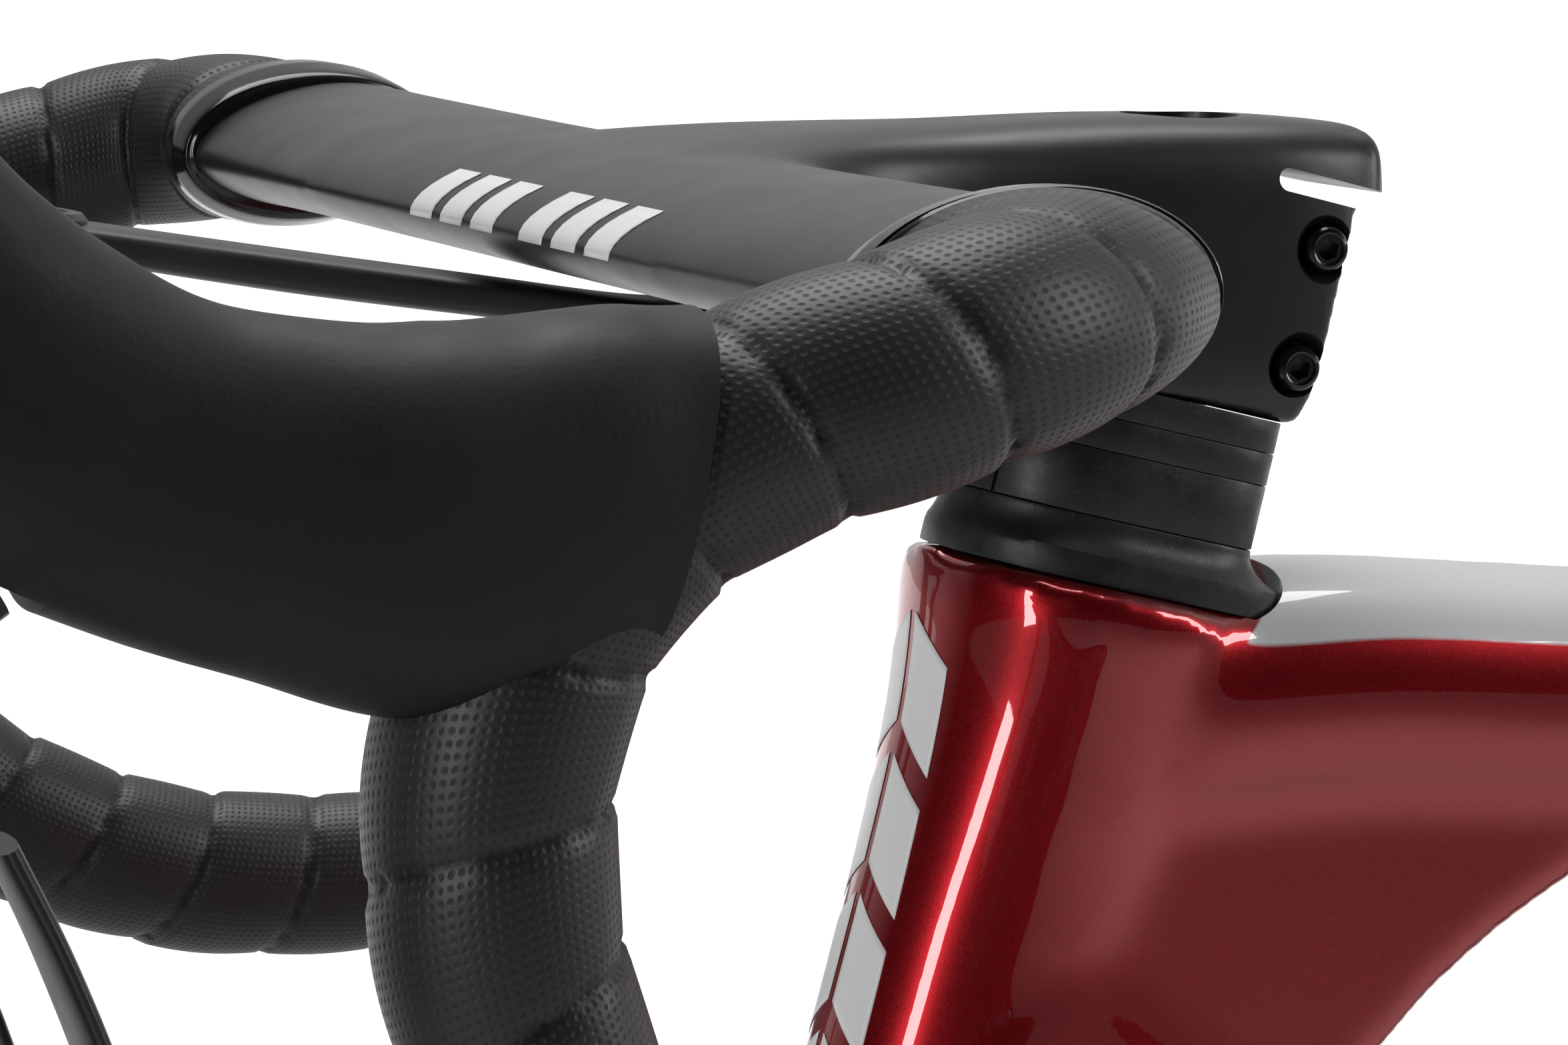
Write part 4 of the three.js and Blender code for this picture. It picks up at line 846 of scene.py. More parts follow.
def build_stack():
    # The cover has an upright lip over the head tube, then a hollow flare up to the spacers.
    sections = [(0.1, COVER_BASE), (3.4, COVER_BASE), (4.4, tuple(v - 0.2 for v in COVER_BASE))]
    for t in np.linspace(0, 1, 9)[1:]:
        sink = 1 - (1 - t) ** 2.4
        sections.append(
            (4.4 + 5.5 * t, tuple(a - 0.2 + (b - a + 0.2) * sink for a, b in zip(COVER_BASE, SPACER_SHAPE)))
        )
    collar("cover", sections, "headset_cover", "frame")
    bottom = SPACERS[0]
    for height, node in zip(SPACERS[1:], ("spacer_lower", "spacer_middle", "spacer_upper")):
        top = bottom + height - (0.12 if node == "spacer_upper" else 0.04)
        seam = (20.2, 8.6) if node == "spacer_lower" else None
        collar("look_" + node, [(bottom + 0.02, SPACER_SHAPE), (top, SPACER_SHAPE)], node, seam_at=seam)
        bottom += height


# ---- Bar and stem ------------------------------------------------------------------------------
BAR_LINE = [
    (71, -6, 61.5, 24, 9.6), (71, 60, 61.5, 24, 9.6), (71, 120, 61.7, 23.5, 10), (72, 148, 62, 22.5, 10.6),
    (75, 163, 62.3, 19, 11.3), (81, 176, 62.6, 14.5, 11.8), (92, 186, 61.5, BAR_R, BAR_R),
    (106, BAR_HALF, 59, BAR_R, BAR_R),
    (124, BAR_HALF, 54.5, BAR_R, BAR_R), (141, BAR_HALF, 46, BAR_R, BAR_R),
    (152, BAR_HALF, 33, BAR_R, BAR_R),
    (157.5, BAR_HALF, 17, BAR_R, BAR_R), (158, BAR_HALF, 0, BAR_R, BAR_R),
    (154, BAR_HALF, -18, BAR_R, BAR_R),
    (146, BAR_HALF, -34, BAR_R, BAR_R), (134, BAR_HALF, -48, BAR_R, BAR_R),
    (118, BAR_HALF, -59, BAR_R, BAR_R),
    (100, BAR_HALF, -67, BAR_R, BAR_R), (80, BAR_HALF, -72, BAR_R, BAR_R),
    (50, BAR_HALF, -75, BAR_R, BAR_R),
    (22, BAR_HALF, -77, BAR_R, BAR_R),
]
TAPE_LINE = [(73.6, TAPE_START, 62.2, 20.4, 11.1)] + BAR_LINE[4:-1] + [(26, BAR_HALF, -76.7, BAR_R, BAR_R)]
STEM_LINE = [
    (-49, 57, 64.2, 12), (-48.3, 50, 65.6, 14.5), (-46.5, 40, 66.4, 16.5), (-44.5, 20, 66.9, 17.6),
    (-30, 20, 68.8, 19.6), (-5, 20, 70.6, 20), (20, 30, 71.4, 20.5),
    (38, 42, 72.2, 24), (52, 49, 72.4, 33), (66, 51.5, 71.5, 50), (82, 54, 69, 62),
]
STEM_BOLTS = (38.7, 57.3)
BOLT_BACK = -20.6


def wing_ring(p, wide, high, count):
    """The bar's section: a wing with a soft crease along its leading edge that turns round outboard."""
    flat = min(max((wide.length / high.length - 1) / 1.4, 0), 1)
    points = []
    for i in range(count):
        t = 2 * math.pi * (i + 0.5) / count
        c, s = math.cos(t), math.sin(t)
        lift = high * s * (1 - 0.16 * flat * c)
        crease = 1 - flat * 0.1 * max(0, c) ** 6 * abs(s)
        points.append(p + wide * c + lift * crease)
    return points


def bar_half(side):
    rows = smooth_line([(*head(x, side * y, z), w, h) for x, y, z, w, h in BAR_LINE], 6)
    points = [Vector(r[:3]) for r in rows]
    rings = [
        wing_ring(p, w * r[3], h * r[4], 56)
        for p, r, (_, w, h) in zip(points, rows, swept_frames(points, Vector((1, 0, 0))))
    ]
    made = loft("bar_half", rings)
    clean(made)
    return made


def build_cockpit():
    rows = smooth_line([(x, b, t, w, 4.0) for x, b, t, w in STEM_LINE], 5)
    rings = [
        ring(head(x, 0, (b + t) / 2), Y * w, Vector((0, 0, (t - b) / 2)), e, 72) for x, b, t, w, e in rows
    ]
    stem = loft("stem", rings)
    clean(stem)
    for cutter in (
        block(steer(STEM_BOTTOM - 25, 0), (160, 140, 50), STEER_TILT),
        block(steer(STEM_BOTTOM, -44.5), (40, 60, 70), STEER_TILT),
    ):
        carve(stem, cutter)
    body = join("look_cockpit", [bar_half(1), bar_half(-1), stem])
    fuse(body, 0.95, 9)
    soften(body, [(head(52, 0, 62), 60), (head(60, 40, 62), 40), (head(60, -40, 62), 40)], 40)
    # The relief slot over the clamp, with a rounded inner end.
    slot_end = steer(SLOT_UP, -10 - 1.65)
    slot = rod(slot_end - Y * 40, slot_end + Y * 40, 1.75, 32)
    cutters = [
        block(steer(SLOT_UP, -42), (61, 60, 3.5), STEER_TILT), slot,
        steer_bore(STEM_BOTTOM - 5, STEM_TOP - 11.5, STEERER_CLEAR),
        steer_bore(STEM_TOP - 14, STEM_TOP + 20, 9),
    ]
    for h in STEM_BOLTS:
        pocket = [
            (0, -14), (2.2, -14), (2.2, 15), (3.85, 15), (3.85, 16.8), (5.6, 19.4), (5.6, 26), (0, 26),
        ]
        cutters.append(lathe("pocket", pocket, steer(h, BOLT_BACK), Y, count=64, closed=False))
    carve_all(body, cutters)
    shade(body, 35)
    return place(body, "steering", "cockpit", material=MAT["satin"])


def build_stem_bolts():
    for h, node in zip(STEM_BOLTS, ("stem_bolt_lower", "stem_bolt_upper")):
        outer = [
            (0, -13), (1.8, -13), (2, -12.6), (2, 15.1), (3.2, 15.1), (3.5, 15.5), (3.5, 18.3),
            (3.42, 18.8), (3.1, 19.2), (2.6, 19.35), (2.35, 19.25), (2.2, 19.0), (0, 19.0),
        ]
        bolt = lathe("look_" + node, outer, steer(h, BOLT_BACK), Y, count=64, closed=False)
        socket = lathe(
            "s", [(0, 16.6), (1.8, 17), (1.8, 21), (0, 21)], steer(h, BOLT_BACK), Y, count=6, closed=False,
        )
        carve(bolt, socket)
        shade(bolt, 28)
        place(bolt, "steering", node, material=MAT["gloss"])


def build_tape(side, suffix):
    """Tape wound round the bar: each turn overlaps the last, with a step at its edge."""
    count, step = 84, 1.0
    dense = smooth_line([(*head(x, side * y, z), w, h) for x, y, z, w, h in TAPE_LINE], 40)
    rows, along, run, last = [], [], 0.0, None
    for r in dense:
        p = Vector(r[:3])
        run += 0 if last is None else (p - last).length
        last = p
        if not along or run - along[-1] >= step:
            rows.append(r)
            along.append(run)
    points = [Vector(r[:3]) for r in rows]
    verts, faces, uv = [], [], []
    for k, (p, r, (_, width, height)) in enumerate(
        zip(points, rows, swept_frames(points, Vector((1, 0, 0))))
    ):
        end = min(1.0, along[k] / 2.0, (along[-1] - along[k]) / 3.0 + 0.25)
        for i in range(count):
            a = 2 * math.pi * i / count
            turn = along[k] / WRAP + side * i / count + 0.35
            t = turn % 1.0
            wobble = 0.12 * math.sin(3.1 * math.floor(turn) + a)
            rise = min(1.0, t / 0.09) ** 0.6 * min(1.0, (1 - t) / 0.05) ** 0.5
            thick = TAPE - 1.75 + 1.25 * rise + 0.6 * math.sin(math.pi * t) ** 0.8 - 0.35 * t + wobble
            thick = thick * (0.55 + 0.45 * end)
            out = width * ((r[3] + thick) * math.cos(a)) + height * ((r[4] + thick) * math.sin(a))
            verts.append(p + out)
    rings_count = len(points)

    def at(k, i):
        return (along[k] + side * WRAP * i / count, i / count)

    for k in range(rings_count - 1):
        for i in range(count):
            j = (i + 1) % count
            faces.append((k * count + i, k * count + j, (k + 1) * count + j, (k + 1) * count + i))
            uv.append((at(k, i), at(k, i + 1), at(k + 1, i + 1), at(k + 1, i)))
    for k, base in ((0, 0), (rings_count - 1, (rings_count - 1) * count)):
        verts.append(points[k])
        for i in range(count):
            j = (i + 1) % count
            faces.append(
                (len(verts) - 1, base + j, base + i) if k == 0 else (len(verts) - 1, base + i, base + j)
            )
            uv.append(((0, 0), (0, 0), (0, 0)))
    tape = new_object("look_bar_tape_" + suffix, verts, faces, MAT["tape"], uv)
    clean(tape)
    return place(tape, "steering", "bar_tape_" + suffix)


def build_tape_ring(side, suffix):
    rows = []
    for y, x, w, h in (
        (147.5, 72.1, 22.4, 10.7), (149, 72.3, 22.2, 10.7), (153, 72.9, 21.4, 10.9),
        (157.5, 73.6, 20.6, 11.2), (159, 73.9, 20.3, 11.3),
    ):
        rows.append((*head(x, side * y, 62.1), w, h))
    dense = smooth_line(rows, 8)
    points = [Vector(r[:3]) for r in dense]
    rings = []
    n = len(dense)
    for i, (p, r, (_, width, height)) in enumerate(
        zip(points, dense, swept_frames(points, Vector((1, 0, 0))))
    ):
        t = i / (n - 1)
        dome = 0.35 + 2.75 * min(1, t / 0.55) ** 0.75 - 0.5 * max(0, (t - 0.8) / 0.2) ** 2
        rings.append(ring(p, width * (r[3] + dome), height * (r[4] + dome), 2, 72))
    made = loft("look_tape_ring_" + suffix, rings)
    clean(made)
    shade(made, 40)
    return place(made, "steering", "tape_ring_" + suffix, material=MAT["gloss"])


def build_bar_plug(side, suffix):
    end, before = head(22, side * BAR_HALF, -77), head(50, side * BAR_HALF, -75)
    out = (end - before).normalized()
    profile = [(0, 3.0), (6, 2.7), (11, 1.6), (13.6, 0), (14.2, -1.8), (14.0, -4), (10, -4.2), (0, -4.2)]
    plug = lathe("bar_plug_" + suffix, profile, end + out * 0.3, out, count=56, closed=False)
    shade(plug, 35)
    return place(plug, "steering", material=MAT["gloss"])


# ---- Hoods and levers --------------------------------------------------------------------------
HOOD_LINE = [
    (134, 52, 15.5, 21), (146, 49.5, 17, 20.5), (163, 47.5, 18, 22.5), (180, 51.5, 17.5, 20.5),
    (196, 57, 17, 19.5),
    (211, 66, 16.5, 20), (222, 79, 15.5, 18), (229, 94, 13.5, 14.5), (231, 104, 9, 9),
]
LEVER_PIVOT = head(222, 0, 44)


def build_hood(side, suffix):
    line = [(head(x, side * BAR_HALF, z), w, h, 2.5) for x, z, w, h in HOOD_LINE[1:]]
    line.insert(0, (head(134, side * BAR_HALF, 50.8), 15.4, 19.4, 2.4))
    start = (head(122, side * BAR_HALF, 54.2), 14.9, 15.6, 2.2)
    end = (head(231.6, side * BAR_HALF, 107), 5.5, 5.5, 2.2)
    body = tube([start] + line + [end], 48, 5)
    fuse(body, 1.3, 8)
    cutters = [
        block(head(102, side * BAR_HALF, 50), (60, 60, 90), math.radians(-15)),
        block(LEVER_PIVOT + Vector((7, side * BAR_HALF, -2)), (38, 17, 37)),
    ]
    cutters[0].data.transform(Matrix.Translation((2.6 * MM, 0, 0)))
    carve_all(body, cutters)
    shade(body, 38)
    place(body, "steering", "hood_" + suffix, material=MAT["rubber"])


def build_brake_lever(side, suffix):
    def at(x, z):
        return head(x, side * BAR_HALF, z)

    blade = tube([
        (at(216, 48), 6.5, 7, 2.6), (at(231, 38), 6.5, 7, 2.6), (at(229, 20), 6.5, 5.5, 2.4),
        (at(220, -4), 6, 4.5, 2.4),
        (at(213, -30), 6, 4, 2.4), (at(213, -52), 6, 4, 2.4), (at(219, -70), 5.5, 3.5, 2.4),
    ], 40, 8)
    pin = rod(head(222, side * (BAR_HALF - 8.2), 44), head(222, side * (BAR_HALF + 8.2), 44), 2.6, 24, 0.4)
    made = join("look_brake_lever_" + suffix, [blade, pin])
    shade(made, 45)
    place(made, "brake_lever_" + suffix, "brake_lever_" + suffix, material=MAT["alloy"])


def build_shift_paddle(side, suffix):
    def at(x, z):
        return head(x, side * (BAR_HALF - 3), z)

    paddle = tube(
        [
            (at(214, 16), 6, 1.6, 2.4), (at(208.5, 2), 8, 1.6, 2.4), (at(203.5, -14), 8.5, 1.6, 2.4),
            (at(201.5, -26), 6, 1.6, 2.4),
        ],
        40, 8,
    )
    made = join("look_shift_paddle_" + suffix, [paddle])
    shade(made, 45)
    place(made, "shift_paddle_" + suffix, "shift_paddle_" + suffix, material=MAT["plastic"])


def build_computer_mount():
    arm = tube([
        (head(56, 0, 44.8), 9, 2.6, 4), (head(70, 0, 46.3), 9, 2.6, 4), (head(94, 0, 51), 9.5, 2.9, 4),
        (head(124, 0, 57.2), 9.5, 3, 4),
        (head(156, 0, 64.4), 11, 2.7, 4),
    ], 56, 8)
    axis = Vector((-math.sin(math.radians(10)), 0, math.cos(math.radians(10))))
    puck = [
        (0, -4), (15.2, -4), (16, -3.2), (16, 3.1), (15.2, 4), (13.3, 4), (12.8, 3.2), (11.6, 3.2),
        (11.2, 4), (0, 4),
    ]
    body = join(
        "look_computer_mount", [arm, lathe("puck", puck, head(168, 0, 66.4), axis, count=72, closed=False)],
    )
    shade(body, 35)
    place(body, "steering", "computer_mount", material=MAT["plastic"])
    for x, y in ((64, 5), (64, -5)):
        place(
            rod(
                head(x, y, 42.2), head(x, y, 45.2), 2.6, 24, 0.3,
                name=f"mount_screw_{'l' if y > 0 else 'r'}",
            ),
            "steering", material=MAT["dark_steel"],
        )


# ---- Build the front of the bicycle ------------------------------------------------------------
look_frame = build_frame()
build_hanger()
bearings()
thru_axle("rear_thru_axle", REAR_AXLE, 79, 79, "frame")
build_fork()
thru_axle("front_thru_axle", FRONT_AXLE, 61, 61, "steering")
build_stack()
look_cockpit = build_cockpit()
build_stem_bolts()
for side, suffix in ((1, "left"), (-1, "right")):
    build_tape(side, suffix)
    build_tape_ring(side, suffix)
    build_bar_plug(side, suffix)
    build_hood(side, suffix)
    build_brake_lever(side, suffix)
    build_shift_paddle(side, suffix)
build_computer_mount()


# ---- Wheels ------------------------------------------------------------------------------------
def polar(axle, radius, angle, y):
    return axle + Vector((radius * math.cos(angle), y, radius * math.sin(angle)))


def build_rim(axle, body, node):
    outside = [
        (317.0, 12.2), (316.4, 12.8), (308, 13.4), (300, 13.6), (290, 12.4), (281, 8.6), (275, 4.6),
        (272.4, 2.2), (272, 0),
    ]
    inside = [(317.0, 11.0), (309, 10.6), (309, 8.0), (307.6, 5.5), (307.4, 0)]
    dense = [tuple(p) for p in smooth_line(outside[2:], 4)]
    half = outside[:2] + dense
    profile = half + [(r, -y) for r, y in reversed(half[:-1])] + [(r, -y) for r, y in inside] + [
        (r, y) for r, y in reversed(inside[:-1])
    ]
    rim = lathe("look_" + node, profile, axle, Y, count=192)
    shade(rim, 32)
    place(rim, body, node, material=MAT["carbon"])


def build_tyre(axle, body, node):
    """A road tyre: round tread with fine grooves, and a ridge above each bead."""
    middle, radius = WHEEL_R - 14, 14.0
    start = math.asin((317.2 - middle) / radius)
    profile = []
    steps = 44
    for i in range(steps + 1):
        t = start + (math.pi - 2 * start) * i / steps
        away = abs(t - math.pi / 2)
        r = radius
        if abs(away - 0.42) < 0.035:
            r -= 0.45
        if abs(away - 1.0) < 0.04:
            r -= 0.3
        if away > 1.35:
            r += 0.25
        profile.append((middle + r * math.sin(t), r * math.cos(t)))
    inner = [
        (middle + 11.6 * math.sin(t), 11.6 * math.cos(t))
        for t in np.linspace(math.pi - start + 0.05, start - 0.05, 16)
    ]
    tyre = lathe("look_" + node, profile + inner, axle, Y, count=192)
    shade(tyre, 40)
    place(tyre, body, node, material=MAT["tyre"])


FRONT_HUB = [
    (AXLE_HOLE, -50), (9.4, -50), (10, -49.4), (10, -36), (11.5, -34), (18.4, -31.6), (19.2, -30.6),
    (19.2, -26.6), (18, -25.6), (14, -22.5), (12, -18), (11.4, 0), (12, 8), (14.5, 12), (18.4, 14.8),
    (19.2, 15.6), (19.2, 19.6), (18.2, 20.6), (15, 23.4), (15, 41), (14.4, 42), (10.4, 42.4), (10, 43),
    (10, 49.4), (9.4, 50), (AXLE_HOLE, 50),
]
REAR_HUB = [
    (AXLE_HOLE, -71), (9.4, -71), (10, -70.4), (10, -68.8), (16.2, -68.4), (16.4, -67.8), (16.4, -24.4),
    (17.5, -23.4), (22.4, -22), (23, -21), (23, -18), (22, -17), (16, -13), (14, -8), (13.4, 4), (14, 20),
    (16.5, 26), (20.4, 29.6), (21, 30.6), (21, 34.4), (20.2, 35.4), (15.4, 38), (15, 39), (15, 56.6),
    (14.4, 57.6), (10.4, 58.2), (10, 59), (10, 70.4), (9.4, 71), (AXLE_HOLE, 71),
]


def build_hub(axle, body, node, profile, flanges):
    shell = lathe("look_" + node, profile, axle, Y, count=72)
    shade(shell, 28)
    place(shell, body, node, material=MAT["alloy"])
    spokes, nipples = [], []
    for i in range(24):
        y, r = flanges[i % 2]
        way = 1 if i % 4 < 2 else -1
        at = 2 * math.pi * i / 24
        a = polar(axle, r - 1.2, at + way * math.radians(75), y + way * 1.7)
        b = polar(axle, 270, at, math.copysign(1.0, y))
        along = (b - a).normalized()
        spokes.append(
            tube(
                [
                    (a, 1.0, 1.0, 2), (a + along * 14, 1.0, 1.0, 2), (a + along * 22, 0.55, 1.25, 2),
                    (b - along * 26, 0.55, 1.25, 2), (b - along * 16, 1.0, 1.0, 2), (b, 1.0, 1.0, 2),
                ],
                8, 1, across=Y,
            )
        )
        nipples.append(rod(b - along * 8, b + along * 3.5, 1.7, 12, 0.3))
        nipples.append(rod(a - along * 0.4 - Y * way * 0.6, a - along * 0.4 + Y * way * 1.6, 1.6, 10, 0.3))
    place(join(node.replace("hub", "spokes"), spokes), body, material=MAT["dark_steel"])
    made = join(node.replace("hub", "nipples"), nipples)
    shade(made, 40)
    place(made, body, material=MAT["steel"])
    valve = join(
        node.replace("hub", "valve"),
        [
            rod(polar(axle, 273, 0.13, 0), polar(axle, 238, 0.13, 0), 2.9, 20, 0.4),
            rod(polar(axle, 238, 0.13, 0), polar(axle, 231, 0.13, 0), 1.7, 16, 0.6),
            rod(polar(axle, 271.5, 0.13, 0), polar(axle, 268.5, 0.13, 0), 5, 6, 0.3),
        ],
    )
    shade(valve, 35)
    place(valve, body, material=MAT["alloy"])


def build_rotor(axle, body, node, y):
    """A brake rotor: a drilled steel track on a dark six-armed carrier with a lock ring."""
    track = [circle(axle, 80, 160), circle(axle, 66.2, 120)]
    for ring_r, phase in ((76.5, 0.0), (73, 0.5), (69.6, 0.0)):
        for i in range(24):
            t = 2 * math.pi * (i + phase + (0.22 if ring_r > 75 else 0)) / 24
            hole = axle + Vector((ring_r * math.cos(t), 0, ring_r * math.sin(t)))
            track.append(circle(hole, 1.55, 10))
    disc = plate("look_" + node, track, y - 0.9, y + 0.9, bevel=0.12)
    place(disc, body, node, material=MAT["steel"])
    arms = []
    carrier = [circle(axle, 26, 72), circle(axle, 15.4, 48)]
    arms.append(plate("c", carrier, y - 0.85, y + 0.85, bevel=0.2))
    for i in range(6):
        t = 2 * math.pi * i / 6
        pts = [(r, t + off) for r, off in ((24.5, 0.0), (44, 0.16), (66.8, 0.42))]
        wide = (4.2, 2.6, 3.4)
        left = [
            (axle.x + r * math.cos(a) - w * math.sin(a), axle.z + r * math.sin(a) + w * math.cos(a))
            for (r, a), w in zip(pts, wide)
        ]
        right = [
            (axle.x + r * math.cos(a) + w * math.sin(a), axle.z + r * math.sin(a) - w * math.cos(a))
            for (r, a), w in zip(pts, wide)
        ]
        left = [tuple(q) for q in smooth_line(left, 6)]
        right = [tuple(q) for q in smooth_line(right, 6)]
        arms.append(plate("a", [right + left[::-1]], y - 0.85, y + 0.85, bevel=0.2))
        r, a = pts[2]
        arms.append(rod(polar(axle, r + 0.8, a, y - 1.5), polar(axle, r + 0.8, a, y + 1.5), 2.3, 16, 0.3))
    notch = []
    for i in range(48):
        r = 21.5 if i % 4 < 2 else 20.3
        t = 2 * math.pi * i / 48
        notch.append(around(axle, r, t))
    arms.append(plate("lock", [notch, circle(axle, 15.2, 48)], y + 0.6, y + 3.4, bevel=0.3))
    carrier_obj = join(node.replace("rotor", "rotor_carrier"), arms)
    shade(carrier_obj, 35)
    place(carrier_obj, body, material=MAT["alloy"])


# ---- Brakes ------------------------------------------------------------------------------------
FRONT_CALIPER = FRONT_AXLE + UP_STEER * 46 - FWD_STEER * 48
REAR_CALIPER = REAR_AXLE + Vector((66, 0, 20))


def build_caliper(node, body, middle, axle, y, turn, length, depth, lying):
    """A two-piston caliper over a rotor at y: a rounded body with its slot, piston caps and bolts."""
    width = 25.4
    size = (length, width, depth) if lying else (depth, width, length)
    shell = block(middle, size, turn, 4.5)
    slot = lathe(
        "s", [(0, y - 4.6), (84, y - 4.6), (84, y + 4.6), (0, y + 4.6)], Vector((axle.x, 0, axle.z)), Y,
        count=96, closed=False,
    )
    carve(shell, slot)
    parts = [shell]
    for sign in (1, -1):
        out = Y * sign
        parts.append(rod(middle + out * (width / 2 - 2), middle + out * (width / 2 + 0.6), 9.2, 40, 0.6))
    long_axis = Matrix.Rotation(turn, 3, "Y") @ (Vector((1, 0, 0)) if lying else Vector((0, 0, 1)))
    for sign in (1, -1):
        at = middle + long_axis * sign * (length / 2 - 6.5)
        for face in (1, -1):
            parts.append(
                rod(at + Y * face * (width / 2 - 2.5), at + Y * face * (width / 2 + 0.4), 3.6, 24, 0.5)
            )
    made = join("look_" + node, parts)
    shade(made, 35)
    place(made, body, node, material=MAT["alloy"])
    pin_at = Vector((middle.x, y, middle.z)) + long_axis.cross(Y) * (depth / 2 - 5.5 if depth > 30 else 8)
    pin = rod(pin_at - Y * 12, pin_at + Y * 12, 1.4, 16, 0.3, name=node.replace("brake_caliper", "pad_pin"))
    place(pin, body, material=MAT["steel"])


def build_pad(node, middle, y, sign, turn):
    """A brake pad on one side of its rotor: the compound, then the steel backing plate."""
    compound = block(middle + Y * (y + sign * 2.35 - middle.y), (13.4, 1.9, 21.4), turn, 0.5)
    plate_obj = block(middle + Y * (y + sign * 3.75 - middle.y), (14, 0.9, 22), turn, 0.3)
    made = join("look_" + node, [compound, plate_obj])
    shade(made, 35)
    place(made, node, node, material=MAT["pad"])


# ---- Drivetrain --------------------------------------------------------------------------------
CHAIN_Y = GUIDE.y
COGS = (34, 30, 27, 24, 21, 19, 17, 15, 14, 13, 12, 11)
COG_IN_USE = 6


def pitch_radius(teeth):
    return 6.35 / math.sin(math.pi / teeth)


def teeth_outline(middle, teeth, turn=0.0):
    """A sprocket's rim: rounded seats for the rollers between the teeth."""
    r = pitch_radius(teeth)
    points = []
    for i in range(teeth):
        for part, radius in (
            (-0.36, r - 1.4), (-0.22, r - 3.4), (0.0, r - 4.05), (0.22, r - 3.4), (0.36, r - 1.4),
            (0.46, r + 1.9), (0.54, r + 1.9),
        ):
            t = turn + 2 * math.pi * (i + part) / teeth
            points.append(around(middle, radius, t))
    return points


def belt(circles):
    """Points round a closed belt over circles (centre, radius, turn)."""
    heading = []
    for i, (c, r, s) in enumerate(circles):
        d, q, t = circles[(i + 1) % len(circles)]
        between = d - c
        heading.append(
            math.atan2(between.z, between.x) + math.asin((s * r - t * q) / math.hypot(between.x, between.z))
        )
    points = []
    for i, (c, r, s) in enumerate(circles):
        start = heading[i - 1]
        sweep_by = heading[i] - start
        while s * sweep_by < 0:
            sweep_by += s * 2 * math.pi
        while s * sweep_by > 2 * math.pi:
            sweep_by -= s * 2 * math.pi
        steps = max(8, int(abs(sweep_by) / math.radians(3)))
        for k in range(steps + 1):
            t = start + sweep_by * k / steps
            points.append((c.x + s * r * math.sin(t), c.z - s * r * math.cos(t)))
    return points


def walk(points, count):
    """Evenly spaced places round a closed line, and the line's length."""
    closed = points + points[:1]
    lengths = [math.dist(a, b) for a, b in zip(closed, closed[1:])]
    total = sum(lengths)
    out, k, done = [], 0, 0.0
    for i in range(count):
        want = total * i / count
        while done + lengths[k] < want:
            done += lengths[k]
            k += 1
        t = (want - done) / lengths[k]
        a, b = closed[k], closed[k + 1]
        out.append((a[0] + (b[0] - a[0]) * t, a[1] + (b[1] - a[1]) * t))
    return out, total


def build_chain():
    loop = belt(
        [
            (BB, pitch_radius(50), 1), (REAR_AXLE, pitch_radius(COGS[COG_IN_USE]), 1),
            (GUIDE, pitch_radius(11), -1), (TENSION, pitch_radius(11), 1),
        ]
    )
    _, total = walk(loop, 4)
    count = int(round(total / 12.7 / 2)) * 2
    pins, _ = walk(loop, count)
    waist = []
    for end in (0, 1):
        for k in range(9):
            t = math.radians(-115 + 230 * k / 8) + (0 if end else math.pi)
            waist.append((6.35 * (1 if end else -1) + 3.9 * math.cos(t), 3.9 * math.sin(t)))
    waist.insert(9, (0, -2.75))
    waist.append((0, 2.75))
    verts, faces = [], []

    def prism(outline, centre, angle, y0, y1):
        base = len(verts)
        c, s = math.cos(angle), math.sin(angle)
        n = len(outline)
        for y, shrink in ((y0, 0.94), (y0 + 0.14, 1.0), (y1 - 0.14, 1.0), (y1, 0.94)):
            for x, z in outline:
                verts.append(
                    (centre[0] + (x * c - z * s) * shrink, y, centre[1] + (x * s + z * c) * shrink)
                )
        for k in range(3):
            for i in range(n):
                j = (i + 1) % n
                faces.append(
                    (base + k * n + i, base + k * n + j, base + (k + 1) * n + j, base + (k + 1) * n + i)
                )
        faces.append(tuple(base + i for i in reversed(range(n))))
        faces.append(tuple(base + 3 * n + i for i in range(n)))

    roller = [
        (3.85 * math.cos(2 * math.pi * i / 14), 3.85 * math.sin(2 * math.pi * i / 14)) for i in range(14)
    ]
    pin = [(1.7 * math.cos(2 * math.pi * i / 10), 1.7 * math.sin(2 * math.pi * i / 10)) for i in range(10)]
    for i in range(count):
        a, b = pins[i], pins[(i + 1) % count]
        middle = ((a[0] + b[0]) / 2, (a[1] + b[1]) / 2)
        angle = math.atan2(b[1] - a[1], b[0] - a[0])
        low, high = (1.12, 1.78) if i % 2 else (1.84, 2.5)
        for sign in (1, -1):
            y0, y1 = sorted((CHAIN_Y + sign * low, CHAIN_Y + sign * high))
            prism(waist, middle, angle, y0, y1)
        prism(roller, a, 0, CHAIN_Y - 1.05, CHAIN_Y + 1.05)
        prism(pin, a, 0, CHAIN_Y - 2.7, CHAIN_Y + 2.7)
    chain = new_object("look_chain", verts, faces)
    clean(chain, 0.0001)
    shade(chain, 32)
    place(chain, "frame", "chain", material=MAT["steel"])


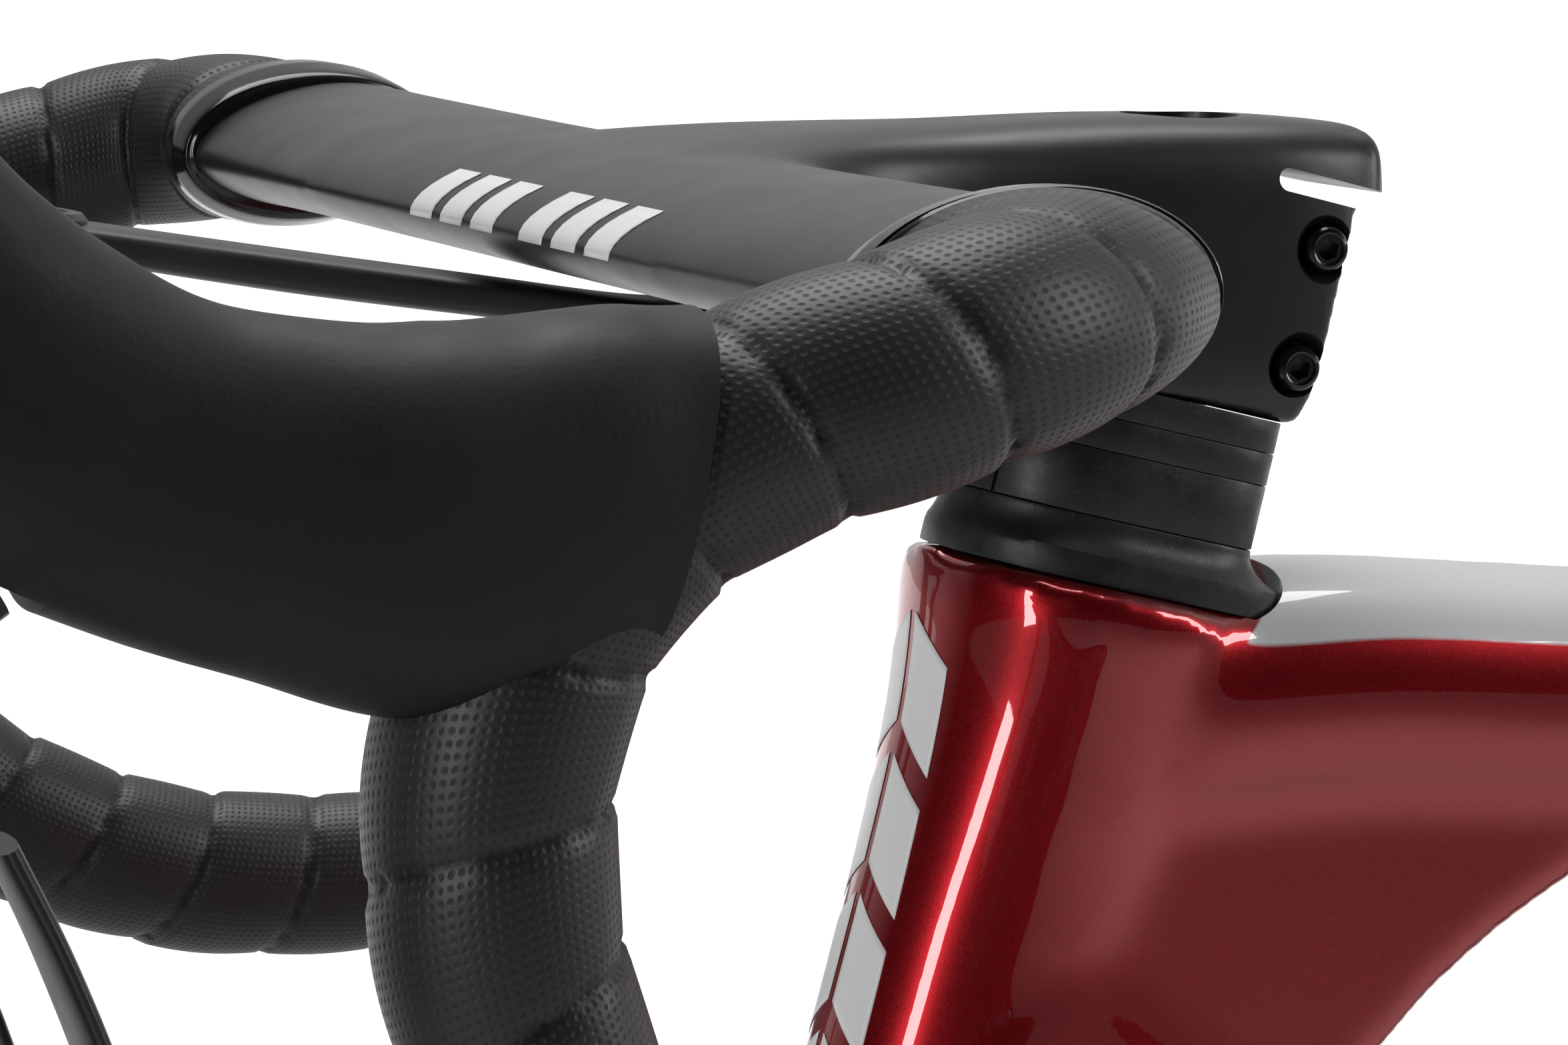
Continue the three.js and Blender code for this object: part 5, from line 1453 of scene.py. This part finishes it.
def build_cassette():
    parts = []
    for i, teeth in enumerate(COGS):
        y = CHAIN_Y + (COG_IN_USE - i) * 3.6
        r = pitch_radius(teeth)
        loops = [teeth_outline(REAR_AXLE, teeth, 0.1 * i)]
        if r > 40:
            loops.append(circle(REAR_AXLE, 22, 48))
            for k in range(6):
                t0 = 2 * math.pi * k / 6 + 0.1 * i
                inner, outer = 26.5, r - 9
                window = []
                for f, rr in (
                    (0.14, inner), (0.4, inner), (0.66, inner), (0.86, (inner + outer) / 2), (0.84, outer),
                    (0.5, outer), (0.16, outer), (0.1, (inner + outer) / 2),
                ):
                    t = t0 + f * 2 * math.pi / 6
                    window.append(around(REAR_AXLE, rr, t))
                loops.append(smooth_closed(window, 4))
        else:
            loops.append(circle(REAR_AXLE, 17.4, 48))
        parts.append(plate("cog", loops, y - 0.8, y + 0.8, bevel=0.18))
    first, last = CHAIN_Y + COG_IN_USE * 3.6, CHAIN_Y + (COG_IN_USE - len(COGS) + 1) * 3.6
    profile = [
        (17.3, last - 1.6), (19.4, last - 1.6), (19.8, last - 1.0), (19.8, first - 0.3),
        (19.0, first + 0.3), (17.3, first + 0.3),
    ]
    parts.append(lathe("carrier", profile, Vector((REAR_AXLE.x, 0, REAR_AXLE.z)), Y, count=72))
    cassette = join("look_cassette", parts)
    shade(cassette, 30)
    place(cassette, "cassette", "cassette", material=MAT["steel"])


def spider_point(i, y):
    t = (i + 0.5) * math.pi / 2 - math.radians(12)
    return Vector((BB.x + 55 * math.cos(t), y, BB.z + 55 * math.sin(t)))


def build_chainring(node, teeth, y):
    middle = Vector((BB.x, y, BB.z))
    r = pitch_radius(teeth)
    loops = [teeth_outline(middle, teeth, 0.03)]
    inner = []
    for i in range(4):
        t0 = (i + 0.5) * math.pi / 2 - math.radians(12)
        for d, rr in (
            (-0.16, 49.2), (0.0, 48.6), (0.16, 49.2), (0.34, 56 if teeth < 40 else 62), (0.62, r - 11),
            (0.785, r - 10.5), (0.95, r - 11), (1.23, 56 if teeth < 40 else 62),
        ):
            inner.append(around(BB, rr, t0 + d))
    loops.append(smooth_closed(inner, 4))
    loops += [circle(spider_point(i, y), 4.3, 20) for i in range(4)]
    ring_obj = plate("look_" + node, loops, y - 1, y + 1, bevel=0.22)
    place(ring_obj, "crank", node, material=MAT["dark_steel"])


def crank_arm(side):
    def at(x, y):
        return Vector((BB.x - side * x, side * y, BB.z))

    arm = tube(
        [
            (at(-15, 56), 8, 14, 2.6), (at(10, 57.5), 8.5, 17, 2.6), (at(60, 61.5), 7.5, 14, 2.8),
            (at(152.5, 66.5), 6.5, 12.5, 2.8), (at(180.5, 66.5), 6.3, 11, 2.6),
        ],
        40, 6,
    )
    return [arm, rod(at(172.5, 60), at(172.5, 73), 13, 48, 1.2)]


def build_cranks():
    def at(y):
        return Vector((BB.x, y, BB.z))

    parts = crank_arm(-1) + [rod(at(-45.9), at(-64), 20.4, 64, 1.5)]
    for i in range(4):
        out = (spider_point(i, 0) - BB).normalized()
        rows = [
            (at(-52) + out * 12, 2.2, 12, 3), (at(-50.5) + out * 29, 2.2, 10, 3),
            (at(-45.2) + out * 43, 2.2, 8, 3), (at(-44.85) + out * 60, 2.2, 7, 3),
        ]
        parts.append(tube(rows, 32, 5, across=Y, carried=True))
    body = join("look_crank_right", parts)
    fuse(body, 0.9, 5)
    shade(body, 40)
    place(body, "crank", "crank_arm_right", material=MAT["carbon"])
    spindle = rod(at(62), at(-60), 11.9, 64, 0.6, name="crank_spindle")
    place(spindle, "crank", material=MAT["dark_steel"])
    for i in range(4):
        head_profile = [
            (0, -39.2), (4.9, -39.2), (5.2, -39.6), (5.2, -40.1), (4, -40.1), (4, -49.6), (5.4, -49.6),
            (5.4, -50.4), (4.6, -51), (2.6, -51), (2.3, -50.2), (0, -50.2),
        ]
        bolt = lathe(f"ring_bolt_{i}", head_profile, spider_point(i, 0), Y, count=32, closed=False)
        shade(bolt, 30)
        place(bolt, "crank", material=MAT["dark_steel"])
    left = join("look_crank_left", crank_arm(1) + [rod(at(46.4), at(64), 18, 64, 1.5)])
    fuse(left, 0.9, 5)
    carve(left, rod(at(40), at(80), 12.2, 48))
    shade(left, 40)
    place(left, "crank", "crank_arm_left", material=MAT["carbon"])
    for side, suffix in ((1, "left"), (-1, "right")):
        end = Vector((BB.x - side * 172.5, side * 73, BB.z))
        axle_obj = lathe(
            "pedal_axle_" + suffix,
            [
                (0, -4 * side), (4.4, -4 * side), (4.5, 0), (7.2, 0.3 * side), (7.2, 2 * side),
                (4.5, 2.4 * side), (4.2, 49 * side), (0, 50 * side),
            ],
            end, Y, count=40, closed=False,
        )
        shade(axle_obj, 35)
        place(axle_obj, "crank", material=MAT["steel"])
    cap = lathe(
        "crank_cap", [(0, 64.6), (9.5, 64.6), (10.4, 64), (11.8, 62), (0, 62)], at(0), Y, count=48,
        closed=False,
    )
    shade(cap, 30)
    place(cap, "crank", material=MAT["alloy"])


def build_pedal(side, suffix):
    middle = Vector((BB.x - side * 172.5, side * 106, BB.z))
    rows = [
        (middle - Y * side * 30, 28, 7.4, 3), (middle - Y * side * 27, 31.5, 8, 3),
        (middle - Y * side * 8, 41, 8.9, 3.2), (middle + Y * side * 14, 41, 8.9, 3.2),
        (middle + Y * side * 25, 34, 8.3, 3), (middle + Y * side * 28, 30, 7.4, 3),
    ]
    body = tube(rows, 72, 6, across=Vector((1, 0, 0)))
    cutters = [rod(middle - Y * side * 40, middle + Y * side * 18, 4.8, 32)]
    for x in (-21, 21):
        cutters.append(block(middle + Vector((x, side * 2, 0)), (15, 34, 30), 0, 3))
    carve_all(body, cutters)
    modify(body, "BEVEL", width=0.5 * MM, segments=2, limit_method="ANGLE", angle_limit=math.radians(40))
    bake(body)
    shade(body, 40)
    body.name = "look_pedal_" + suffix
    place(body, "pedal_" + suffix, "pedal_" + suffix, material=MAT["plastic"])
    grip = block(middle + Vector((0, side * 2, 9.05)), (9, 40, 0.7), 0, 0.25)
    grip.name = "pedal_plate_" + suffix
    place(grip, "pedal_" + suffix, material=MAT["steel"])


# ---- Derailleurs -------------------------------------------------------------------------------
LINK_TOP = Vector((HANGER.x + 2, -90, HANGER.z - 12))
LINK_BOTTOM = Vector((GUIDE.x, -90, GUIDE.z + 20))


def build_rear_derailleur():
    def lathe_y(name, profile, x, z):
        return lathe(name, profile, Vector((x, 0, z)), Y, count=56, closed=False)

    upper = [
        lathe_y(
            "u", [(0, -98), (9.4, -98), (11.2, -97), (12, -95.2), (12, -81), (11, -79.8), (0, -79.6)],
            HANGER.x, HANGER.z,
        )
    ]
    for x in (-11, 11):
        upper.append(block(LINK_TOP + Vector((x, 0, 4)), (5.2, 12, 18), 0, 1.6))
    knuckle = join("look_derailleur_knuckle", upper)
    fuse(knuckle, 0.7, 3)
    carve(knuckle, block(LINK_TOP + Vector((0, 0, -3)), (17, 40, 22)))
    shade(knuckle, 35)
    place(knuckle, "frame", "rear_derailleur_knuckle", material=MAT["plastic"])
    for point, name, body in ((LINK_TOP, "upper", "frame"), (LINK_BOTTOM, "lower", "derailleur_arm")):
        pin = rod(
            point - Vector((14, 0, 0)), point + Vector((14, 0, 0)), 2, 24, 0.4,
            name=f"derailleur_pin_{name}",
        )
        place(pin, body, material=MAT["steel"])
    along = LINK_BOTTOM - LINK_TOP
    turn = math.atan2(along.x, along.z)
    link = block((LINK_TOP + LINK_BOTTOM) / 2, (8, 8, along.length + 8), turn, 1.8)
    for p in (LINK_TOP, LINK_BOTTOM):
        carve(link, rod(p - Vector((30, 0, 0)), p + Vector((30, 0, 0)), 2.3, 32))
    shade(link, 35)
    link.name = "look_derailleur_link"
    place(link, "derailleur_link", "rear_derailleur_link", material=MAT["alloy"])
    z = LINK_BOTTOM.z - 22
    lower = [
        lathe_y(
            "l",
            [(0, -96), (9.4, -96), (11.4, -94.8), (12, -93), (12, -60), (11.2, -58), (9, -57), (0, -57)],
            LINK_BOTTOM.x, z,
        )
    ]
    for x in (-11, 11):
        lower.append(block(LINK_BOTTOM + Vector((x, 0, -5)), (5.2, 12, 20), 0, 1.6))
    arm = join("look_derailleur_arm", lower)
    fuse(arm, 0.7, 3)
    carve(arm, block(LINK_BOTTOM + Vector((0, 0, 3)), (17, 40, 20)))
    shade(arm, 35)
    place(arm, "derailleur_arm", "rear_derailleur_arm", material=MAT["plastic"])
    lean = math.atan2(TENSION.z - GUIDE.z, TENSION.x - GUIDE.x)
    outline = []
    for c, r, a0 in ((GUIDE, 12.5, lean + math.pi / 2), (TENSION, 11.5, lean - math.pi / 2)):
        for k in range(13):
            t = a0 + math.pi * k / 12
            outline.append(around(c, r, t))
    u = (TENSION - GUIDE).normalized()
    w = Vector((-u.z, 0, u.x))
    hole_pts = []
    for a, b in (
        (0.28, -5), (0.5, -6.2), (0.72, -5), (0.74, 0), (0.72, 5), (0.5, 6.2), (0.28, 5), (0.26, 0),
    ):
        p = GUIDE.lerp(TENSION, a) + w * b
        hole_pts.append((p.x, p.z))
    cage_parts = [
        plate("cage", [outline, smooth_closed(hole_pts, 5)], CHAIN_Y + y, CHAIN_Y + y + 1.5, bevel=0.3)
        for y in (-6.6, 5.1)
    ]
    for c in (GUIDE, TENSION):
        cage_parts.append(
            rod(Vector((c.x, CHAIN_Y - 7.4, c.z)), Vector((c.x, CHAIN_Y + 7.2, c.z)), 2.9, 24, 0.4)
        )
    cage = join("look_derailleur_cage", cage_parts)
    shade(cage, 35)
    place(cage, "derailleur_cage", "rear_derailleur_cage", material=MAT["alloy"])
    for node, c in (("guide_pulley", GUIDE), ("tension_pulley", TENSION)):
        middle = Vector((c.x, CHAIN_Y, c.z))
        loops = [teeth_outline(middle, 11, 0.2), circle(middle, 3.3, 24)]
        wheel = plate("p", loops, CHAIN_Y - 1.0, CHAIN_Y + 1.0, bevel=0.3)
        boss = lathe(
            "b", [(3.3, -3), (7.4, -3), (7.8, -2.6), (7.8, 2.6), (7.4, 3), (3.3, 3)], middle, Y, count=48,
        )
        body = join("look_" + node, [wheel, boss])
        shade(body, 35)
        place(body, node, node, material=MAT["plastic"])


def build_front_derailleur():
    cx, cz = BB.x - 36, BB.z + 112
    parts = [
        block(Vector((cx - 2, -27.2, cz + 16)), (30, 15.6, 22), 0, 3.2),
        rod(Vector((cx - 2, -31, cz + 34)), Vector((cx - 2, -19, cz + 34)), 7, 40, 1),
        block(Vector((cx - 2, -22.2, cz + 26)), (14, 6.4, 16), 0, 1.5),
    ]
    body = join("look_front_derailleur_body", parts)
    shade(body, 35)
    place(body, "frame", "front_derailleur_body", material=MAT["plastic"])
    side = [
        (-42, -2), (-20, -4), (10, -4), (42, -2), (45, 4), (44, 10), (34, 17), (20, 20), (-10, 19),
        (-30, 18), (-42, 13), (-46, 5),
    ]
    outer = smooth_closed([(cx + x, cz + z) for x, z in side], 4)
    inner = smooth_closed([(cx + x, cz + z - (8 if z < 0 else 0)) for x, z in side], 4)
    pieces = [plate("o", [outer], CHAIN_Y - 5.6, CHAIN_Y - 4.4, bevel=0.25),
              plate("i", [inner], CHAIN_Y + 4.4, CHAIN_Y + 5.6, bevel=0.25),
              block(
                  Vector((cx - 30, CHAIN_Y, cz + 15)), (14, 10, 1.6), 0, 0.3,
              ), block(Vector((cx + 22, CHAIN_Y, cz + 17)), (12, 10, 1.6), 0, 0.3)]
    cage = join("look_front_derailleur_cage", pieces)
    shade(cage, 35)
    place(cage, "front_derailleur_cage", "front_derailleur_cage", material=MAT["alloy"])


# ---- Seat post and saddle ----------------------------------------------------------------------
SADDLE_TOP = seat(730)
CLAMP = seat(675)
SADDLE_LINE = [
    (-122, 40, -10, 0), (-112, 66, -15, 2), (-80, 73, -18, 0), (-40, 62, -19, -2), (0, 40, -19, -3),
    (50, 24, -18, -2), (110, 20, -17, -1), (138, 16, -16, -2), (148, 8, -13, -6),
]


def saddle_layer(low, high, inset, groove):
    rows = smooth_line(SADDLE_LINE, 6)
    rings = []
    for x, width, bottom, top in rows:
        def level(part):
            return bottom + (top - bottom) * part
        middle = SADDLE_TOP + Vector((x * (1 - inset / 100), 0, (level(low) + level(high)) / 2))
        points = ring(
            middle, Y * max(width - inset, 3), Vector((0, 0, (level(high) - level(low)) / 2)), 2.8, 72,
        )
        if groove:
            fade = max(0, 1 - ((x + 5) / 108) ** 4)
            for p in points:
                if p.z > middle.z:
                    p.z -= 4.5 * fade * math.exp(-((p.y / 9.5) ** 2)) * min(1, (p.z - middle.z) / 3)
        rings.append(points)
    made = loft("layer", rings)
    clean(made)
    return made


def build_saddle():
    cover = saddle_layer(0.36, 1, 0, True)
    cover.name = "look_saddle_cover"
    modify(cover, "SMOOTH", iterations=4, factor=0.5)
    bake(cover)
    place(cover, "saddle", "saddle_cover", material=MAT["saddle"])
    base = saddle_layer(-0.25, 0.35, 2, False)
    base.name = "look_saddle_base"
    place(base, "saddle", "saddle_base", material=MAT["plastic"])
    rails = []
    path = [(-100, 31, 24), (-72, 9, 24), (-45, 0, 22), (45, 0, 22), (82, 11, 14), (116, 29, 6)]
    for sign in (1, -1):
        rails.append(
            tube([(CLAMP + Vector((x, sign * y, z)), 3.5, 3.5, 2) for x, z, y in path], 24, 6, carried=True)
        )
    nose = CLAMP + Vector((116, 0, 29))
    rails.append(rod(nose - Y * 8, nose + Y * 8, 3.5, 24, 0.5))
    rail_obj = join("look_saddle_rails", rails)
    shade(rail_obj, 40)
    place(rail_obj, "saddle", "saddle_rails", material=MAT["dark_steel"])
    mast = tube(
        [(seat(330), 10.5, 16.5, 2.4), (seat(648), 10.5, 16.5, 2.4), (seat(670), 10, 15, 2.4)], 64, 4,
    )
    head_rod = rod(CLAMP - Y * 30, CLAMP + Y * 30, 9.5, 48, 1.2)
    post = join("look_seat_post", [mast, head_rod])
    fuse(post, 1.0, 8)
    shade(post, 40)
    place(post, "saddle", "seat_post", material=MAT["carbon"])
    for sign, suffix in ((1, "left"), (-1, "right")):
        clamp = block(CLAMP + Vector((0, sign * 22, 0)), (34, 11, 12), 0, 2.5)
        clamp.name = "saddle_clamp_" + suffix
        carve(clamp, rod(CLAMP + Vector((-40, sign * 22, 0)), CLAMP + Vector((40, sign * 22, 0)), 3.55, 24))
        shade(clamp, 35)
        place(clamp, "saddle", material=MAT["alloy"])
        bolt = rod(
            CLAMP + Vector((0, sign * 29, 0)), CLAMP + Vector((0, sign * 32.4, 0)), 4.4, 32, 0.6,
            name="saddle_bolt_" + suffix,
        )
        place(bolt, "saddle", material=MAT["steel"])


# ---- Printed marks: plain slanted bars ---------------------------------------------------------
def head_tube_marks():
    for side, suffix in ((1, "left"), (-1, "right")):
        for k in range(4):
            def corner(u, v, k=k, side=side):
                phi = math.radians(2 + 22 * u)
                h = -14 - 22 * k - 17 * v - 7 * (u - 0.5)
                out = FWD_STEER * math.cos(phi) + Y * side * math.sin(phi)
                return steer(h, -2.4) + out * 60, -out
            decal(f"mark_{suffix}_{k}", look_frame, corner, 14, 10, 0.12, MAT["white"], "frame")


def wing_marks():
    for side, suffix in ((1, "left"), (-1, "right")):
        for k in range(3):
            def corner(u, v, k=k, side=side):
                y = 20 + side * (6 + 14 * k + 10 * u) - 4 * (v - 0.5)
                return head(130, y, 67.5 - 6.5 * v), Vector((-1, 0, 0))
            decal(f"wing_mark_{suffix}_{k}", look_cockpit, corner, 6, 10, 0.1, MAT["white"], "steering")


for end_name, wheel_axle, wheel_body, hub_profile, flange, rotor_y in (
    ("front", FRONT_AXLE, "front_wheel", FRONT_HUB, ((-28.5, 17), (17.5, 17)), 35),
    ("rear", REAR_AXLE, "rear_wheel", REAR_HUB, ((-19.5, 21), (32.5, 19)), 50),
):
    build_rim(wheel_axle, wheel_body, end_name + "_rim")
    build_tyre(wheel_axle, wheel_body, end_name + "_tyre")
    build_hub(wheel_axle, wheel_body, end_name + "_hub", hub_profile, flange)
    build_rotor(wheel_axle, wheel_body, end_name + "_rotor", rotor_y)
build_caliper(
    "front_brake_caliper", "steering", FRONT_CALIPER + Y * 37, FRONT_AXLE, 35, STEER_TILT, 62, 36,
    lying=False,
)
build_caliper(
    "rear_brake_caliper", "frame", REAR_CALIPER + Y * 51, REAR_AXLE, 50, math.radians(-12), 60, 34,
    lying=True,
)
for end_name, middle, y, turn in (
    ("front", FRONT_CALIPER, 35, STEER_TILT), ("rear", REAR_CALIPER, 50, math.radians(78)),
):
    build_pad(end_name + "_pad_outer", middle, y, 1, turn)
    build_pad(end_name + "_pad_inner", middle, y, -1, turn)
build_chain()
build_cassette()
build_chainring("chainring_large", 50, CHAIN_Y)
build_chainring("chainring_small", 34, CHAIN_Y + 7.5)
build_cranks()
build_pedal(1, "left")
build_pedal(-1, "right")
build_rear_derailleur()
build_front_derailleur()
build_saddle()
head_tube_marks()
wing_marks()


# ---- CAD nodes that stay as they are take their slot's material --------------------------------
def dress_cad():
    by_slot = {
        "frame_paint": "red", "carbon": "carbon", "cockpit_black": "satin", "spacer_black": "spacer",
        "bar_tape": "tape", "hood_rubber": "rubber", "tyre_rubber": "tyre", "gloss_black": "gloss",
        "black_alloy": "alloy", "steel": "steel",
        "dark_steel": "dark_steel", "pad": "pad", "saddle_black": "saddle",
    }
    slot_of = {s["node"]: s["material_slot"] for s in frame["record"]["subparts"]}
    for name, obj in frame["nodes"].items():
        material = MAT[by_slot[slot_of[name]]]
        if obj.material_slots:
            for s in obj.material_slots:
                s.material = material
        else:
            obj.data.materials.append(material)


dress_cad()


# ---- Stage, light and camera -------------------------------------------------------------------
def aim(obj, place_at, target):
    obj.location = place_at
    obj.rotation_euler = (Vector(target) - Vector(place_at)).to_track_quat("-Z", "Y").to_euler()


def area(name, place_at, target, size, power, size_y=None):
    lamp = bpy.data.lights.new(name, "AREA")
    lamp.shape = "RECTANGLE"
    lamp.size, lamp.size_y, lamp.energy = size, size_y or size, power
    obj = bpy.data.objects.new(name, lamp)
    bpy.context.scene.collection.objects.link(obj)
    aim(obj, place_at, target)
    return obj


FLOOR_HALF = 60000
VIEW_ALONG = (-0.362, -0.932)  # the camera's direction across the floor


def build_stage():
    """A pale floor that glows as painted light, and a world, both bright beyond the bicycle and dim on the
    camera's side.
    """
    corners = [(x * FLOOR_HALF, y * FLOOR_HALF, 0) for x, y in ((-1, -1), (1, -1), (1, 1), (-1, 1))]
    floor = new_object("floor", corners, [(0, 1, 2, 3)])
    n = Nodes("floor_white", (0.72, 0.72, 0.72), 0.9)
    spot = n.add("ShaderNodeSeparateXYZ", {"Vector": n.coords()})
    parts = [n.math("MULTIPLY", spot.outputs[a], v) for a, v in zip("XY", VIEW_ALONG)]
    away = n.math("ADD", *parts)
    # Painted light: the floor glows through its emission, from dim on the camera's side to bright beyond the
    # bicycle.
    n.set(n.shader, {"Emission Color": (1, 1, 1, 1)})
    n.link(n.ramp(away, 0.5, 2.6, 0.02, 1.1), "Emission Strength")
    floor.data.materials.append(n.material)
    world = bpy.data.worlds.new("studio")
    bpy.context.scene.world = world
    world.use_nodes = True
    tree = world.node_tree
    way = tree.nodes.new("ShaderNodeTexCoord")
    split = tree.nodes.new("ShaderNodeSeparateXYZ")
    fade = tree.nodes.new("ShaderNodeMapRange")
    turned = tree.nodes.new("ShaderNodeVectorRotate")
    turned.rotation_type = "Z_AXIS"
    turned.inputs["Angle"].default_value = math.radians(111)
    tree.links.new(way.outputs["Generated"], turned.inputs["Vector"])
    tree.links.new(turned.outputs["Vector"], split.inputs["Vector"])
    for key, value in (("From Min", -0.2), ("From Max", 0.7), ("To Min", 0.02), ("To Max", 0.6)):
        fade.inputs[key].default_value = value
    tree.links.new(split.outputs["X"], fade.inputs["Value"])
    tree.links.new(fade.outputs["Result"], tree.nodes["Background"].inputs["Strength"])
    tree.nodes["Background"].inputs["Color"].default_value = (1, 1, 1, 1)
    bpy.context.scene.view_settings.view_transform = "Standard"
    area("overhead", (0.0, -0.7, 3.0), (0.3, 0, 0.9), 1.7, 44)
    area("front_strip", (2.2, 1.3, 1.5), (0.33, 0, 0.85), 0.35, 22, 1.8)
    area("rear_strip", (-1.6, 0.9, 1.6), (0.3, 0, 0.85), 0.5, 20, 1.6)


def build_camera():
    data = bpy.data.cameras.new("photo_view")
    data.lens, data.sensor_width, data.sensor_fit = 133.03, 36, "HORIZONTAL"
    data.clip_start, data.clip_end = 0.05, 300
    obj = bpy.data.objects.new("photo_view", data)
    bpy.context.scene.collection.objects.link(obj)
    right = Vector((-0.9288, 0.3679, -0.045)).normalized()
    view = Vector((-0.3579, -0.9219, -0.1485))
    place_at = (HEAD_TOP + Vector((359.1, 804.4, 142.1))) * MM
    back = -view.normalized()
    up = back.cross(right).normalized()
    obj.matrix_world = Matrix((
        (right.x, up.x, back.x, place_at.x), (right.y, up.y, back.y, place_at.y),
        (right.z, up.z, back.z, place_at.z), (0, 0, 0, 1),
    ))
    bpy.context.scene.camera = obj


build_stage()
build_camera()
